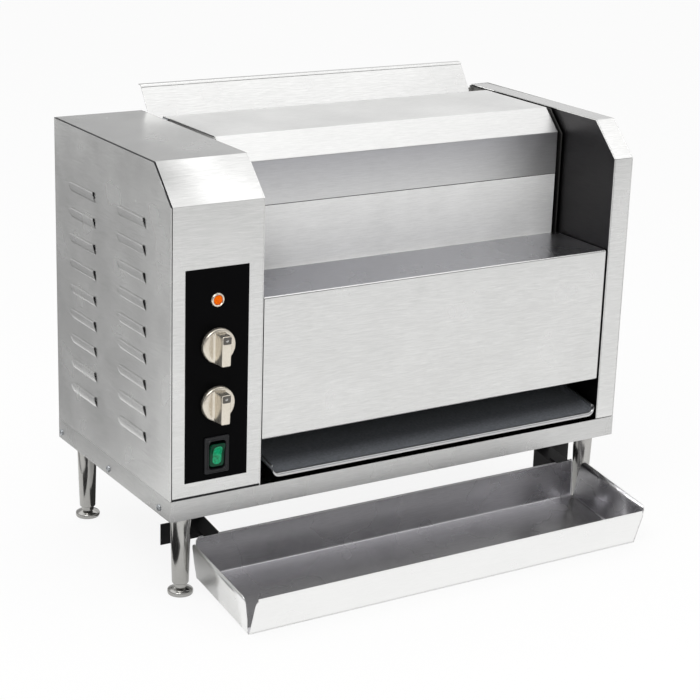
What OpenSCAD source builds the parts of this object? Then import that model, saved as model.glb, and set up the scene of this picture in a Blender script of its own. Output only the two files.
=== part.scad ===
// Vertical bun toaster: heated platen, conveyor belt, discharge chute and catch tray.
// Lengths are millimetres. Modules work from the left front corner of the base,
// with X to the right, Y to the back and Z up, and seat() moves them to the part's origin.

/* [Housing] */
// Width across both side covers
body_w = 635; // [620:1:660]
// Depth from the front face to the back edge
body_d = 311; // [311:1:325]
// Height of the housing above the underside of its base
body_h = 406; // [402:1:414]
// Thickness of the cover sheets
sheet = 1.2; // [1:0.1:1.4]
// Thickness of the base pan
base_t = 1.5; // [1.2:0.1:2]
// Height of the base rails
rail_h = 25; // [22:1:28]
// Sloped corner of the end housings, along each face
chamfer = 42; // [34:1:46]
// Width of the control housing
control_w = 115; // [115:1:122]
// Width of the right end housing
end_w = 28; // [26:1:32]
// Thickness of the two frame plates
plate_t = 2; // [1.5:0.1:2.5]

/* [Hood and front cover] */
// Depth of the bun slot between the hood and the back
slot_d = 44; // [42:1:46]
// Distance of the hood's front face from the front of the housing
hood_face = 107; // [100:1:112]
// Run of the hood's slope, along each face
hood_slope = 27; // [22:1:32]
// Height of the hood from its top to the seam under it
hood_h = 81; // [76:1:88]
// Gap between the hood's ends and the frame plates
hood_gap = 3; // [2:0.5:4]
// Height of the front cover's top
cover_top = 249; // [240:1:256]
// Height of the front cover's lower edge
cover_low = 82; // [76:1:88]
// Set-back of the front cover from the front of the housing
cover_set = 2; // [1:0.5:4]

/* [Bun path] */
// Lean of the loading guide from the vertical, in degrees
guide_lean = 34; // [30:1:36]
// Rise of the loading guide above the housing
guide_rise = 28; // [22:1:34]
// Bun space between the belt and the platen
bun_gap = 22; // [20:1:24]
// Rise of the discharge chute from its lip to its back
chute_rise = 129; // [122:1:132]
// Height of the chute's front lip
chute_lip = 38; // [36:0.5:40]
// Slope of the chute at its lip, in degrees
chute_slope = 8; // [7:0.5:9]
// Depth of the chute's turned-down edges
chute_edge = 8; // [6:0.5:9]

/* [Conveyor] */
// Radius of the belt wheels
wheel_r = 30; // [28:0.5:31]
// Radius of the belt shafts
shaft_r = 8; // [7:0.5:9]
// Thickness of the belt
belt_t = 3; // [2:0.5:4]
// Depth of the drive shaft under the top
drive_drop = 46; // [45:1:50]
// Height of the idler shaft
idler_z = 185; // [183:1:190]
// Belt wheels on each shaft
wheel_count = 5; // [3:1:7]
// Distance between the motor's output shaft and the drive shaft
chain_centres = 110; // [105:1:115]

/* [Catch tray] */
// Width of the tray's floor
tray_w = 548; // [540:1:552]
// Depth of the tray's floor
tray_d = 128; // [124:1:132]
// Length of the tray's walls from the fold to the edge
tray_wall = 50; // [46:1:52]
// Slope of the tray's floor, in degrees
tray_slope = 8; // [7:0.5:9]
// Outward lean of the tray's walls, in degrees
tray_flare = 10; // [8:0.5:11]

/* [Legs] */
// Height of a leg with its foot screwed in
leg_h = 102; // [98:1:106]
// Distance of a leg's axis from the sides and ends of the base
leg_inset = 26; // [25:0.5:28]
// Radius at the top of a leg
leg_r = 12.2; // [11:0.1:13]
// Radius of a foot
foot_r = 15; // [13:0.5:17]
// Travel of a foot
foot_travel = 20; // [10:1:25]

/* [Controls] */
// Width of the black control panel
panel_w = 79; // [74:1:84]
// Height of the black control panel
panel_h = 248; // [244:1:254]
// Height of the control panel's lower edge
panel_z = 44; // [40:1:46]
// Radius of a knob's skirt
knob_r = 20.5; // [19:0.5:22]
// Height of the pilot lamp
lamp_z = 255; // [252:1:260]
// Height of the temperature knob
heat_z = 203; // [200:1:206]
// Height of the speed knob
speed_z = 135; // [132:1:138]
// Height of the power switch
switch_z = 73.5; // [72:0.5:76]

/* [Louvres] */
// Louvres in each column
louvre_count = 9; // [6:1:9]
// Spacing of the louvres
louvre_pitch = 31.4; // [26:0.2:31.4]
// Length of a louvre
louvre_len = 72; // [60:1:78]
// How far a louvre stands out
louvre_out = 4; // [3:0.5:5]

/* [Clearances] */
// Gap between parts that lift off or slide
free_gap = 0.3; // [0.2:0.05:0.5]
// Running gap round a shaft, on the radius
run_gap = 0.05; // [0.03:0.01:0.1]
// Gap round a screw or a stud, on the radius
hole_gap = 0.2; // [0.1:0.05:0.4]

/* [Hidden] */
$fn = 96;
steel = "#c9cacb";
dark = "#2b2c2e";
black = "#141415";
zinc = "#b9bcc0";
cast = "#8f9296";

// Places across the width
cover_seam = 0.8;
frame_gap = 2;
left_plate = control_w + frame_gap;
right_wall = body_w - end_w;
right_plate = right_wall - frame_gap - plate_t;
in_l = left_plate + plate_t;
in_r = right_plate;
hood_l = in_l + hood_gap;
rail_d = 12;
rail_drop = 14;
rail_in = 3;
hood_r = in_r - hood_gap;

// Places along the depth
back_out = body_d - base_t;
back_in = back_out - sheet;
hood_back = body_d - slot_d;
bun_front = hood_back - 5;
platen_y = bun_front + bun_gap;
platen_t = 12;
heater_r = 3.5;
heater_y = platen_y + platen_t + heater_r + 0.1;
shield_y = heater_y + heater_r + 0.1;
shield_t = 1;
shield_lap = 5;
wheel_y = bun_front - belt_t - free_gap - wheel_r;
belt_edge = 11;
wheel_edge = 28;
wheel_t = 10;
hub_r = 14;
hub_t = 20;
bush_wall = 4;
bush_flange = 8;
bush_flange_t = 2.5;
backing_t = 4;
backing_gap = 10;

// Heights
top_in = body_h - sheet;
front_slit = 2.5;
hood_seam = body_h - hood_h;
ledge_d = 15;
drive_z = body_h - drive_drop;
motor_z = drive_z - chain_centres;
platen_z = chute_lip + chute_rise + 18;
platen_top = body_h - 54;
heater_edge = 31;
heater_out = 11;
pin_len = 12;
pin_r = 1.5;
heater_step = (platen_top - platen_z - 2 * heater_edge) / 2;
heater_zs = [for (i = [0 : 2]) platen_z + heater_edge + i * heater_step];
mount_edge = 20;
mount_len = 6;
mount_zs = [platen_z + mount_edge, platen_top - mount_edge];

// Loading guide: its front surface runs through this point, up along guide_u
guide_y = back_out;
guide_lip = 6;
guide_u = [sin(guide_lean), cos(guide_lean)];
guide_n = [cos(guide_lean), -sin(guide_lean)];
guide_foot_y = platen_y + 1;
guide_foot_z = body_h - (guide_y - guide_foot_y) / tan(guide_lean);
guide_top = [guide_y, body_h] + guide_u * guide_rise / guide_u[1];

// Discharge chute: one arc from the lip, at its slope there, to the back end
lip_y = -1;
chute_run = back_in - 12 - lip_y;
chute_r = (chute_run ^ 2 + chute_rise ^ 2)
    / (2 * (chute_rise * cos(chute_slope) - chute_run * sin(chute_slope)));
chute_c = [lip_y - chute_r * sin(chute_slope), chute_lip + chute_r * cos(chute_slope)];
chute_end = asin((lip_y + chute_run - chute_c[0]) / chute_r);
chute_rail_w = 10;
chute_corner = 12;
chute_l = in_l + 2;
chute_w = in_r - 3 - chute_l;

// Catch tray and its brackets
tray_x = (body_w - tray_w) / 2;
tray_front = -108;
tray_z = 0.8 - leg_h;
tray_back = [
    tray_d + tray_wall * sin(tray_flare),
    tray_wall * cos(tray_flare)
];
tray_back_y = tray_front + tray_back[0] * cos(tray_slope) - tray_back[1] * sin(tray_slope);
tray_back_z = tray_z + tray_back[0] * sin(tray_slope) + tray_back[1] * cos(tray_slope);
hook_in = 3;
arm_w = 25;
arm_edge = 6.5;
leg_clear = 11.8;
arm_x = max(tray_x + arm_edge, leg_inset + leg_r + leg_clear);
arm_t = 1.5;
arm_len = 40;
arm_drop = 26;
arm_front = tray_back_y + 2;
arm_front_z = tray_back_z - sheet - free_gap + (arm_front - tray_back_y) * tan(tray_slope);
hang_y = arm_front + arm_len;
hang_z = arm_front_z + arm_len * tan(tray_slope);
wing_out = 31;
bracket_flange = 48;
bracket_screw_ys = [hang_y + 14, hang_y + 36];

// Legs and feet
foot_h = 9;
stem_r = 6;
stem_len = 34;
leg_foot_r = 9.8;
leg_low = leg_h - foot_h - 5;
stud_r = 5;
stud_len = 13;
nut_h = 7;
leg_xs = [leg_inset, body_w - leg_inset];
leg_ys = [leg_inset, body_d - leg_inset];

// Controls
panel_t = 0.5;
control_x = control_w / 2 - 0.5;
panel_x = control_x - panel_w / 2;
knob_shaft_r = 3;
bush_r = 5;
knob_gap = 0.7;
skirt_t = 6;
grip_h = 17;
grip_w = 11;
grip_flare = 0.8;
grip_top = knob_r - 4.5;
grip_low = knob_r - 1;
notch = 8.5;
notch_edge = 0.6;
notch_depth = 0.8;
lamp_r = 8.3;
lens_r = 5.6;
switch_w = 31;
switch_h = 43.5;
switch_lip = 2.5;
pivot_y = 3;
pivot_r = 1.5;
rocker_w = 19;
rocker_r = 16.4;
pocket_w = rocker_w + 1.2;
pocket_h = 2 * rocker_r + 0.8;
rocker_tilt = 10;

// Drive
sprocket_x = 90;
sprocket_t = 8;
sprocket_r = 22;
teeth = 18;
chain_t = 4;
chain_gap = 0.4;
out_r = 5;
gearbox_x = 40;
gearbox_end = 84;
gearbox_w = 70;
motor_r = 30;

// Fan
fan_size = 80;
fan_x = control_x;
fan_z = 82;
fan_depth = 20;
fan_y = back_in - fan_depth;
fan_pin_r = 2;
blade_count = 7;

// Cord gland in the rear panel
gland_z = fan_z + 90;
gland_r = 10;
gland_in = 9;
gland_nut = 6;
gland_out = 18;
cord_r = 5;

// Electrical pieces in the control housing
term_at = [20, 150];
term_w = 26;
term_h = 24;
term_way = 15;
term_ways = 4;
relay_at = [58, 128];
relay_size = [45, 60, 40];
relay_top = 20;
board_y = 40;
board_z = body_h - 121;
board_w = 100;
board_h = 70;
board_t = 1.6;
board_stand = 10.4;
sink_h = 22;

// Screws
side_screw_ys = [29, 164.5, body_d - 8];
rear_screw_edge = 30;
rear_screw_step = (body_w - 2 * rear_screw_edge) / 3;
rear_screw_xs = [for (i = [0 : 3]) rear_screw_edge + i * rear_screw_step];
screw_z = 8.4;
screw_r = 2;
head_r = 4;
head_t = 2.2;

// Louvre columns: where each column's front end is, and the top of the first louvre
louvre_ys = [62, 195];
louvre_top = body_h - 67.5;
louvre_h = 12;

mid_y = (tray_front - tray_wall * sin(tray_flare + tray_slope) + guide_top[0] + guide_lip) / 2;

// Moves the model so that the origin is under the middle of the whole part
module seat() {
    translate([-body_w / 2, -mid_y, leg_h]) children();
}

// Extrudes a drawing of the YZ plane along X
module along_x(x0, x1) {
    translate([x0, 0, 0]) rotate([90, 0, 90]) linear_extrude(x1 - x0) children();
}

// Extrudes a drawing of the XZ plane along Y
module along_y(y0, y1) {
    translate([0, y1, 0]) rotate([90, 0, 0]) linear_extrude(y1 - y0) children();
}

// Round bar along X, through a point of the YZ plane
module bar_x(x0, x1, y, z, r) {
    translate([x0, y, z]) rotate([0, 90, 0]) cylinder(h = x1 - x0, r = r);
}

// Round bar along Y, through a point of the XZ plane
module bar_y(y0, y1, x, z, r) {
    translate([x, y1, z]) rotate([90, 0, 0]) cylinder(h = y1 - y0, r = r);
}

function unit(v) = v / norm(v);
function left_of(d) = [-d[1], d[0]];
function edge_dir(p, i) = unit(p[i + 1] - p[i]);
function mitre(a, b, t) = t * (a + b) / (1 + a * b);
function side_step(p, i, t) =
    i == 0 ? t * left_of(edge_dir(p, 0)) :
    i == len(p) - 1 ? t * left_of(edge_dir(p, i - 1)) :
    mitre(left_of(edge_dir(p, i - 1)), left_of(edge_dir(p, i)), t);

// Folded sheet: follows a line of points, with its thickness on the left of the line
module fold(p, t) {
    last = len(p) - 1;
    polygon(concat(p, [for (i = [last : -1 : 0]) p[i] + side_step(p, i, t)]));
}

// Part of a ring under a centre, between two angles from straight down
module arc_band(c, r, t, a0, a1) {
    far = 2 * r;
    translate(c) intersection() {
        difference() {
            circle(r + t, $fn = 240);
            circle(r, $fn = 240);
        }
        polygon([[0, 0], far * [sin(a0), -cos(a0)], far * [sin(a1), -cos(a1)]]);
    }
}

// Plate with its two upper corners rounded
module tab_plate(w, h, r) {
    square([w, h - r]);
    translate([r, 0]) square([w - 2 * r, h]);
    for (x = [r, w - r]) translate([x, h - r]) circle(r);
}

// Outline of an end housing, seen from the side, from a height up
module end_outline(low) {
    polygon([
        [0, low], [0, body_h - chamfer], [chamfer, body_h], [body_d, body_h], [body_d, low]
    ]);
}

// Line over the front, slope and top of an end housing
function end_line(low, back) = [[back, body_h], [chamfer, body_h], [0, body_h - chamfer], [0, low]];

// Lower edge of a side cover that hangs inside the base rail
module cover_skirt() {
    bridge_z = rail_h + 7;
    skirt = back_in - 10.5;
    translate([base_t + 0.1, 10, 3]) cube([sheet, skirt, bridge_z - 3]);
    translate([0, 10, bridge_z - sheet]) cube([base_t + 0.1 + sheet, skirt, sheet]);
}

module side_screw_holes() {
    for (y = side_screw_ys) bar_x(-1, 8, y, screw_z, screw_r + hole_gap);
}

// Louvre seen along Y: a steep upper side and a long lower side
function louvre_outline(back, rim) = [
    [back, rim], [-louvre_out + rim, 2 + rim], [back, louvre_h - rim]
];

module louvre_solid(y, top, back, rim, len) {
    along_y(y, y + len) translate([0, top])
        polygon([for (q = louvre_outline(back, rim)) [q[0], -q[1]]]);
}

module base_pan() {
    color(steel) seat() difference() {
        cube([body_w, body_d, rail_h]);
        translate([base_t, base_t, base_t])
            cube([body_w - 2 * base_t, body_d - 2 * base_t, rail_h]);
        for (x = leg_xs, y = leg_ys)
            translate([x, y, -1]) cylinder(h = base_t + 2, r = stud_r + hole_gap);
        side_screw_holes();
        translate([body_w, 0, 0]) mirror([1, 0, 0]) side_screw_holes();
        for (x = rear_screw_xs)
            bar_y(body_d - 8, body_d + 1, x, screw_z, screw_r + hole_gap);
        for (x = [arm_x + arm_w / 2, body_w - arm_x - arm_w / 2], y = bracket_screw_ys)
            translate([x, y, -1]) cylinder(h = base_t + 2, r = screw_r + hole_gap);
    }
}

module left_side_cover() {
    color(steel) seat() difference() {
        union() {
            along_x(0, sheet) end_outline(rail_h);
            cover_skirt();
            for (y = louvre_ys, i = [0 : louvre_count - 1])
                louvre_solid(y, louvre_top - i * louvre_pitch, sheet / 2, 0, louvre_len);
        }
        for (y = louvre_ys, i = [0 : louvre_count - 1])
            louvre_solid(y - 1, louvre_top - i * louvre_pitch, sheet + 0.1, 1, louvre_len - 1);
        side_screw_holes();
    }
}

module control_housing() {
    x0 = sheet + cover_seam;
    x1 = control_w - sheet;
    low = rail_h + front_slit;
    color(steel) seat() difference() {
        union() {
            along_x(x0, x1) fold(end_line(low, body_d), sheet);
            along_x(x0, x0 + sheet) fold(end_line(low, back_in - 2), 10);
        }
        bar_y(-1, 5, control_x, lamp_z, lamp_r - 0.8 + hole_gap);
        for (z = [heat_z, speed_z]) bar_y(-1, 5, control_x, z, bush_r + hole_gap);
        translate([control_x - pocket_w / 2 - 2, -1, switch_z - pocket_h / 2 - 2])
            cube([pocket_w + 4, 5, pocket_h + 4]);
    }
}

module control_inner_wall() {
    color(steel) seat() difference() {
        along_x(control_w - sheet, control_w) polygon([
            [base_t, base_t], [base_t, rail_h], [0, rail_h], [0, body_h - chamfer],
            [chamfer, body_h], [body_d, body_h], [body_d, top_in], [back_in, top_in],
            [back_in, base_t]
        ]);
        bar_x(control_w - 5, control_w + 1, wheel_y, drive_z, shaft_r + 2);
        for (z = heater_zs) bar_x(control_w - 5, control_w + 1, heater_y, z, heater_r + 1);
    }
}

module right_end_cover() {
    color(steel) seat() difference() {
        union() {
            along_x(body_w - sheet, body_w) end_outline(rail_h);
            along_x(right_wall + sheet, body_w) fold(end_line(rail_h, body_d), sheet);
            translate([body_w, 0, 0]) mirror([1, 0, 0]) cover_skirt();
        }
        translate([body_w, 0, 0]) mirror([1, 0, 0]) side_screw_holes();
    }
}

module right_inner_wall() {
    color(dark) seat() along_x(right_wall, right_wall + sheet) polygon([
        [0, rail_h], [0, body_h - chamfer], [chamfer, body_h], [body_d, body_h],
        [body_d, top_in], [back_in, top_in], [back_in, rail_h]
    ]);
}

// Upright plate between the housings: carries the shafts, the platen, the chute and the panels
module frame_plate(x, heater_holes) {
    edge = 3;
    drop = body_h - 2;
    notch_y = body_d - leg_inset - 24;
    color(zinc) seat() difference() {
        along_x(x, x + plate_t) polygon([
            [hood_face - edge, base_t], [hood_face - edge, drop - hood_slope],
            [hood_face - edge + hood_slope, drop], [back_in, drop],
            [back_in, base_t + stud_len], [notch_y, base_t + stud_len], [notch_y, base_t]
        ]);
        for (z = [drive_z, idler_z]) bar_x(x - 1, x + plate_t + 1, wheel_y, z, shaft_r + bush_wall);
        for (z = heater_holes) bar_x(x - 1, x + plate_t + 1, heater_y, z, heater_r + 1);
    }
}

module left_frame_plate() { frame_plate(left_plate, heater_zs); }

module right_frame_plate() { frame_plate(right_plate, []); }

module hood() {
    slope = [
        [hood_face + hood_slope, body_h], [hood_face, body_h - hood_slope],
        [hood_face, hood_seam + free_gap]
    ];
    whole = concat([[hood_back, body_h - 12], [hood_back, body_h]], slope);
    ends = concat([[hood_back - rail_d - 6, body_h]], slope);
    color(steel) seat() {
        along_x(hood_l, hood_r) fold(whole, sheet);
        for (x = [hood_l, hood_r - sheet]) along_x(x, x + sheet) fold(ends, 9);
    }
}

module hood_rail() {
    z = top_in - free_gap;
    color(zinc) seat() along_x(in_l, in_r) fold([
        [hood_back - rail_in, z - rail_drop], [hood_back - rail_in, z],
        [hood_back - rail_in - rail_d, z]
    ], sheet);
}

module upper_front_panel() {
    ledge = cover_top - sheet - free_gap;
    color(steel) seat() along_x(in_l, in_r) fold([
        [hood_face, hood_seam], [hood_face, ledge], [hood_face - ledge_d, ledge]
    ], sheet);
}

module front_cover() {
    x0 = in_l - 1.5;
    x1 = in_r + 1.5;
    back = hood_face - 3.5;
    color(steel) seat() {
        along_x(x0, x1) fold([
            [back, cover_top], [cover_set, cover_top], [cover_set, cover_low],
            [cover_set + 12, cover_low]
        ], sheet);
        for (x = [x0, x1 - sheet])
            translate([x, cover_set, cover_low])
                cube([sheet, back - cover_set, cover_top - cover_low]);
    }
}

module rear_panel() {
    x0 = base_t + 0.1;
    x1 = body_w - base_t - 0.1;
    flange_low = body_h - 26;
    lift = sheet + free_gap;
    ridge = [guide_y, body_h] + guide_n * lift;
    peak = ridge - guide_u * (ridge[0] - back_out) / guide_u[0];
    color(steel) seat() difference() {
        union() {
            translate([x0, back_in, 3]) cube([x1 - x0, sheet, flange_low - 3]);
            translate([x0, back_in, flange_low - 1])
                cube([in_l - x0, sheet, top_in - flange_low + 1]);
            translate([in_r, back_in, flange_low - 1])
                cube([x1 - in_r, sheet, top_in - flange_low + 1]);
            along_x(in_l, in_r)
                fold([[back_out, flange_low - 1], peak, peak - 20 * guide_u], sheet);
        }
        for (x = rear_screw_xs) bar_y(back_in - 1, body_d, x, screw_z, screw_r + hole_gap);
        for (ring = [[12, 6], [24, 12], [34, 18]], i = [1 : ring[1]])
            bar_y(back_in - 1, body_d, fan_x + ring[0] * cos(i * 360 / ring[1]),
                fan_z + ring[0] * sin(i * 360 / ring[1]), 4);
        bar_y(back_in - 1, body_d, control_x, gland_z, gland_r + hole_gap);
    }
}

module bun_guide() {
    color(steel) seat() along_x(hood_l, hood_r) fold([
        guide_top + [guide_lip, 0], guide_top, [guide_foot_y, guide_foot_z],
        [guide_foot_y, platen_top + free_gap]
    ], sheet);
}

// Upright block over the chute's outline, seen from above, with its two front corners rounded
module chute_block(inset) {
    r = chute_corner - inset;
    x0 = chute_l + inset;
    x1 = chute_l + chute_w - inset;
    y0 = lip_y + inset;
    linear_extrude(body_h) {
        translate([x0, y0 + r]) square([x1 - x0, chute_run]);
        translate([x0 + r, y0]) square([x1 - x0 - 2 * r, chute_run]);
        for (x = [x0 + r, x1 - r]) translate([x, y0 + r]) circle(r);
    }
}

// Curved sheet with its front and side edges turned down
module bun_chute() {
    lead = 1;
    x1 = chute_l + chute_w;
    color(dark) seat() difference() {
        intersection() {
            along_x(chute_l, x1)
                arc_band(chute_c, chute_r, chute_edge, chute_slope - lead, chute_end);
            chute_block(0);
        }
        intersection() {
            along_x(chute_l, x1)
                arc_band(chute_c, chute_r + sheet, chute_edge, chute_slope - lead, chute_end + lead);
            chute_block(sheet);
        }
    }
}

module chute_rails() {
    a0 = asin((hood_face + 4 - chute_c[0]) / chute_r);
    for (x = [in_l, in_r - chute_rail_w])
        color(zinc) seat() along_x(x, x + chute_rail_w)
            arc_band(chute_c, chute_r + chute_edge, plate_t, a0, chute_end);
}

module platen() {
    lead = 8;
    color(dark) seat() along_x(in_l + mount_len, in_r - mount_len) polygon([
        [platen_y + lead / 2, platen_z], [platen_y, platen_z + lead], [platen_y, platen_top],
        [platen_y + platen_t, platen_top], [platen_y + platen_t, platen_z]
    ]);
}

module platen_mounts() {
    for (x = [in_l, in_r - mount_len], z = mount_zs)
        color(zinc) seat() bar_x(x, x + mount_len, platen_y + platen_t / 2, z, 5);
}

module heaters() {
    for (z = heater_zs) color(cast) seat() {
        bar_x(control_w - heater_out, in_r - mount_len, heater_y, z, heater_r);
        bar_x(control_w - heater_out - pin_len, control_w - heater_out, heater_y, z, pin_r);
    }
}

module heat_shield() {
    color(zinc) seat() translate([in_l + mount_len, shield_y, platen_z - shield_lap])
        cube([in_r - in_l - 2 * mount_len, shield_t, platen_top - platen_z + 2 * shield_lap]);
}

module insulation() {
    y0 = shield_y + shield_t;
    color("#d9d4c6") seat() translate([in_l + belt_edge, y0, platen_z + shield_lap])
        cube([in_r - in_l - 2 * belt_edge, back_in - y0, platen_top - platen_z - 2 * shield_lap]);
}

// Closed loop in the YZ plane, round two equal wheels one above the other
module loop(r, t, low, high) {
    difference() {
        union() {
            translate([wheel_y, low]) circle(r + t);
            translate([wheel_y, high]) circle(r + t);
            translate([wheel_y - r - t, low]) square([2 * (r + t), high - low]);
        }
        translate([wheel_y, low]) circle(r);
        translate([wheel_y, high]) circle(r);
        translate([wheel_y - r, low]) square([2 * r, high - low]);
    }
}

module conveyor_belt() {
    color("#3a3b3d") seat() along_x(in_l + belt_edge, in_r - belt_edge)
        loop(wheel_r + free_gap, belt_t, idler_z, drive_z);
}

module belt_wheels(z) {
    first = in_l + wheel_edge;
    last = in_r - wheel_edge;
    for (i = [0 : wheel_count - 1]) {
        x = first + i * (last - first) / (wheel_count - 1);
        color(cast) seat() difference() {
            union() {
                bar_x(x - wheel_t / 2, x + wheel_t / 2, wheel_y, z, wheel_r);
                bar_x(x - hub_t / 2, x + hub_t / 2, wheel_y, z, hub_r);
            }
            bar_x(x - hub_t, x + hub_t, wheel_y, z, shaft_r);
        }
    }
}

module drive_shaft() {
    color(zinc) seat() bar_x(sprocket_x - 3, right_plate + plate_t + 1.5, wheel_y, drive_z, shaft_r);
}

module drive_wheels() { belt_wheels(drive_z); }

module idler_shaft() {
    color(zinc) seat()
        bar_x(left_plate - 1.5, right_plate + plate_t + 1.5, wheel_y, idler_z, shaft_r);
}

module idler_wheels() { belt_wheels(idler_z); }

// Flanged bush in a frame plate, with its flange on the inside
module bush(x0, x1, f0, f1, z) {
    difference() {
        union() {
            bar_x(x0, x1, wheel_y, z, shaft_r + bush_wall);
            bar_x(f0, f1, wheel_y, z, shaft_r + bush_flange);
        }
        bar_x(x0 - bush_flange, f1 + bush_flange, wheel_y, z, shaft_r + run_gap);
    }
}

module shaft_bushes() {
    for (z = [drive_z, idler_z]) color("#a8783c") seat() {
        bush(left_plate - 1, in_l + 1, in_l, in_l + bush_flange_t, z);
        bush(in_r - 1, in_r + plate_t + 1, in_r - bush_flange_t, in_r, z);
    }
}

module belt_backing_plate() {
    y1 = bun_front - belt_t - free_gap;
    low = idler_z + wheel_r + backing_gap;
    color(zinc) seat() translate([in_l, y1 - backing_t, low])
        cube([in_r - in_l, backing_t, drive_z - wheel_r - backing_gap - low]);
}

module gear_motor() {
    color("#55585c") seat() difference() {
        union() {
            translate([gearbox_x, wheel_y - gearbox_w / 2, motor_z - gearbox_w / 2])
                cube([gearbox_end - gearbox_x, gearbox_w, gearbox_w]);
            bar_x(gearbox_x - 31, gearbox_x + 1, wheel_y, motor_z, motor_r);
        }
        bar_x(gearbox_end - 20, gearbox_end + 1, wheel_y, motor_z, out_r + run_gap);
    }
}

module motor_bracket() {
    half = gearbox_w / 2 + 10;
    t = 2;
    color(zinc) seat() difference() {
        translate([gearbox_end, wheel_y - half, motor_z - half])
            cube([control_w - sheet - gearbox_end, 2 * half, 2 * half]);
        translate([gearbox_end + t, wheel_y - half + t, motor_z - half - 1])
            cube([control_w, 2 * (half - t), 2 * half + 2]);
        bar_x(gearbox_end - 1, control_w, wheel_y, motor_z, out_r + 4);
    }
}

// Toothed wheel for the drive chain
module sprocket(z) {
    step = 360 / teeth;
    root = sprocket_r - 3.5;
    points = [
        for (i = [0 : teeth - 1], q = [[-0.32, root], [-0.12, sprocket_r],
            [0.12, sprocket_r], [0.32, root]])
            q[1] * [cos((i + q[0]) * step), sin((i + q[0]) * step)]
    ];
    along_x(sprocket_x, sprocket_x + sprocket_t) translate([wheel_y, z]) polygon(points);
}

module motor_sprocket() {
    color(cast) seat() {
        sprocket(motor_z);
        bar_x(gearbox_end - 15, sprocket_x + sprocket_t + 4, wheel_y, motor_z, out_r);
    }
}

module shaft_sprocket() {
    color(cast) seat() difference() {
        sprocket(drive_z);
        bar_x(sprocket_x - 1, sprocket_x + sprocket_t + 1, wheel_y, drive_z, shaft_r);
    }
}

module drive_chain() {
    color("#4a4a4a") seat() along_x(sprocket_x + 1, sprocket_x + sprocket_t - 1)
        loop(sprocket_r + chain_gap, chain_t, motor_z, drive_z);
}

module fan_frame() {
    half = fan_size / 2;
    color(black) seat() {
        difference() {
            translate([fan_x - half, fan_y, fan_z - half]) cube([fan_size, fan_depth, fan_size]);
            bar_y(fan_y - 1, back_in + 1, fan_x, fan_z, half - 2.4);
        }
        translate([fan_x - half + 1, fan_y, fan_z - 2]) cube([fan_size - 2, 3, 4]);
        translate([fan_x - 2, fan_y, fan_z - half + 1]) cube([4, 3, fan_size - 2]);
        bar_y(fan_y, fan_y + 3, fan_x, fan_z, 14);
        bar_y(fan_y, fan_y + 15, fan_x, fan_z, fan_pin_r);
    }
}

module fan_rotor() {
    y0 = fan_y + 3.6;
    y1 = fan_y + 17;
    color("#26282b") seat() difference() {
        union() {
            bar_y(y0, y1, fan_x, fan_z, 15);
            for (i = [0 : blade_count - 1])
                translate([fan_x, (y0 + y1) / 2, fan_z]) rotate([0, i * 360 / blade_count, 0])
                    translate([24, 0, 0]) rotate([40, 0, 0]) cube([24, 1.5, 12], center = true);
        }
        bar_y(y0 - 1, fan_y + 15.5, fan_x, fan_z, fan_pin_r + run_gap);
    }
}

module terminal_block() {
    color("#e4e0d4") seat() translate([term_at[0], term_at[1], base_t]) difference() {
        cube([term_w, term_ways * term_way, term_h]);
        for (i = [0 : term_ways - 1], x = [0.27, 0.73])
            translate([x * term_w, (i + 0.5) * term_way, term_h / 2])
                cylinder(h = term_h, r = term_way / 5);
        for (i = [1 : term_ways - 1])
            translate([-1, i * term_way - 0.75, term_h * 0.6]) cube([term_w + 2, 1.5, term_h]);
    }
}

module contactor() {
    step = 6;
    color("#3c3f44") seat() translate([relay_at[0], relay_at[1], base_t]) {
        cube(relay_size);
        translate([step, step, relay_size[2] - 1])
            cube([relay_size[0] - 2 * step, relay_size[1] - 2 * step, relay_top + 1]);
    }
}

module drive_board() {
    wall = control_w - sheet;
    face = wall - board_stand;
    y0 = board_y;
    z0 = board_z;
    color("#2f5d3a") seat() {
        translate([face - board_t, y0, z0]) cube([board_t, board_w, board_h]);
        translate([face - sink_h, y0 + board_w / 10, z0 + board_h / 7])
            cube([sink_h - 0.5, board_w / 4, board_h / 2]);
        translate([face - sink_h / 2, y0 + board_w / 2, z0 + board_h / 4])
            cube([sink_h / 2 - 0.5, board_w / 3, board_h / 6]);
        bar_x(face - sink_h, face - 0.5, y0 + board_w * 0.7, z0 + board_h * 0.75, board_h / 8);
        for (y = [y0 + 6, y0 + board_w - 6], z = [z0 + 6, z0 + board_h - 6])
            bar_x(face - 1, wall, y, z, 3);
    }
}

module cord_gland() {
    color(black) seat() difference() {
        union() {
            bar_y(back_in - gland_in, back_out + 1, control_x, gland_z, gland_r);
            for (y = [back_in, back_out + gland_nut]) translate([control_x, y, gland_z])
                rotate([90, 0, 0]) cylinder(h = gland_nut, r = gland_r + 4, $fn = 6);
            bar_y(back_out + gland_nut - 1, back_out + gland_out, control_x, gland_z, gland_r + 1);
        }
        bar_y(back_in - 2 * gland_in, back_out + 2 * gland_out, control_x, gland_z, cord_r);
    }
}

module control_panel() {
    color(black) seat() difference() {
        translate([panel_x, -panel_t, panel_z]) cube([panel_w, panel_t, panel_h]);
        bar_y(-2, 2, control_x, lamp_z, lamp_r - 0.8 + hole_gap);
        for (z = [heat_z, speed_z]) bar_y(-2, 2, control_x, z, bush_r + hole_gap);
        translate([control_x - pocket_w / 2 - 2, -2, switch_z - pocket_h / 2 - 2])
            cube([pocket_w + 4, 5, pocket_h + 4]);
    }
}

module pilot_lamp() {
    color("#d8d2c4") seat() difference() {
        union() {
            bar_y(-panel_t - 2, -panel_t, control_x, lamp_z, lamp_r);
            bar_y(-panel_t - 1, 26, control_x, lamp_z, lamp_r - 0.8);
        }
        bar_y(-panel_t - 3, 12, control_x, lamp_z, lens_r + 0.1);
    }
}

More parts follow.
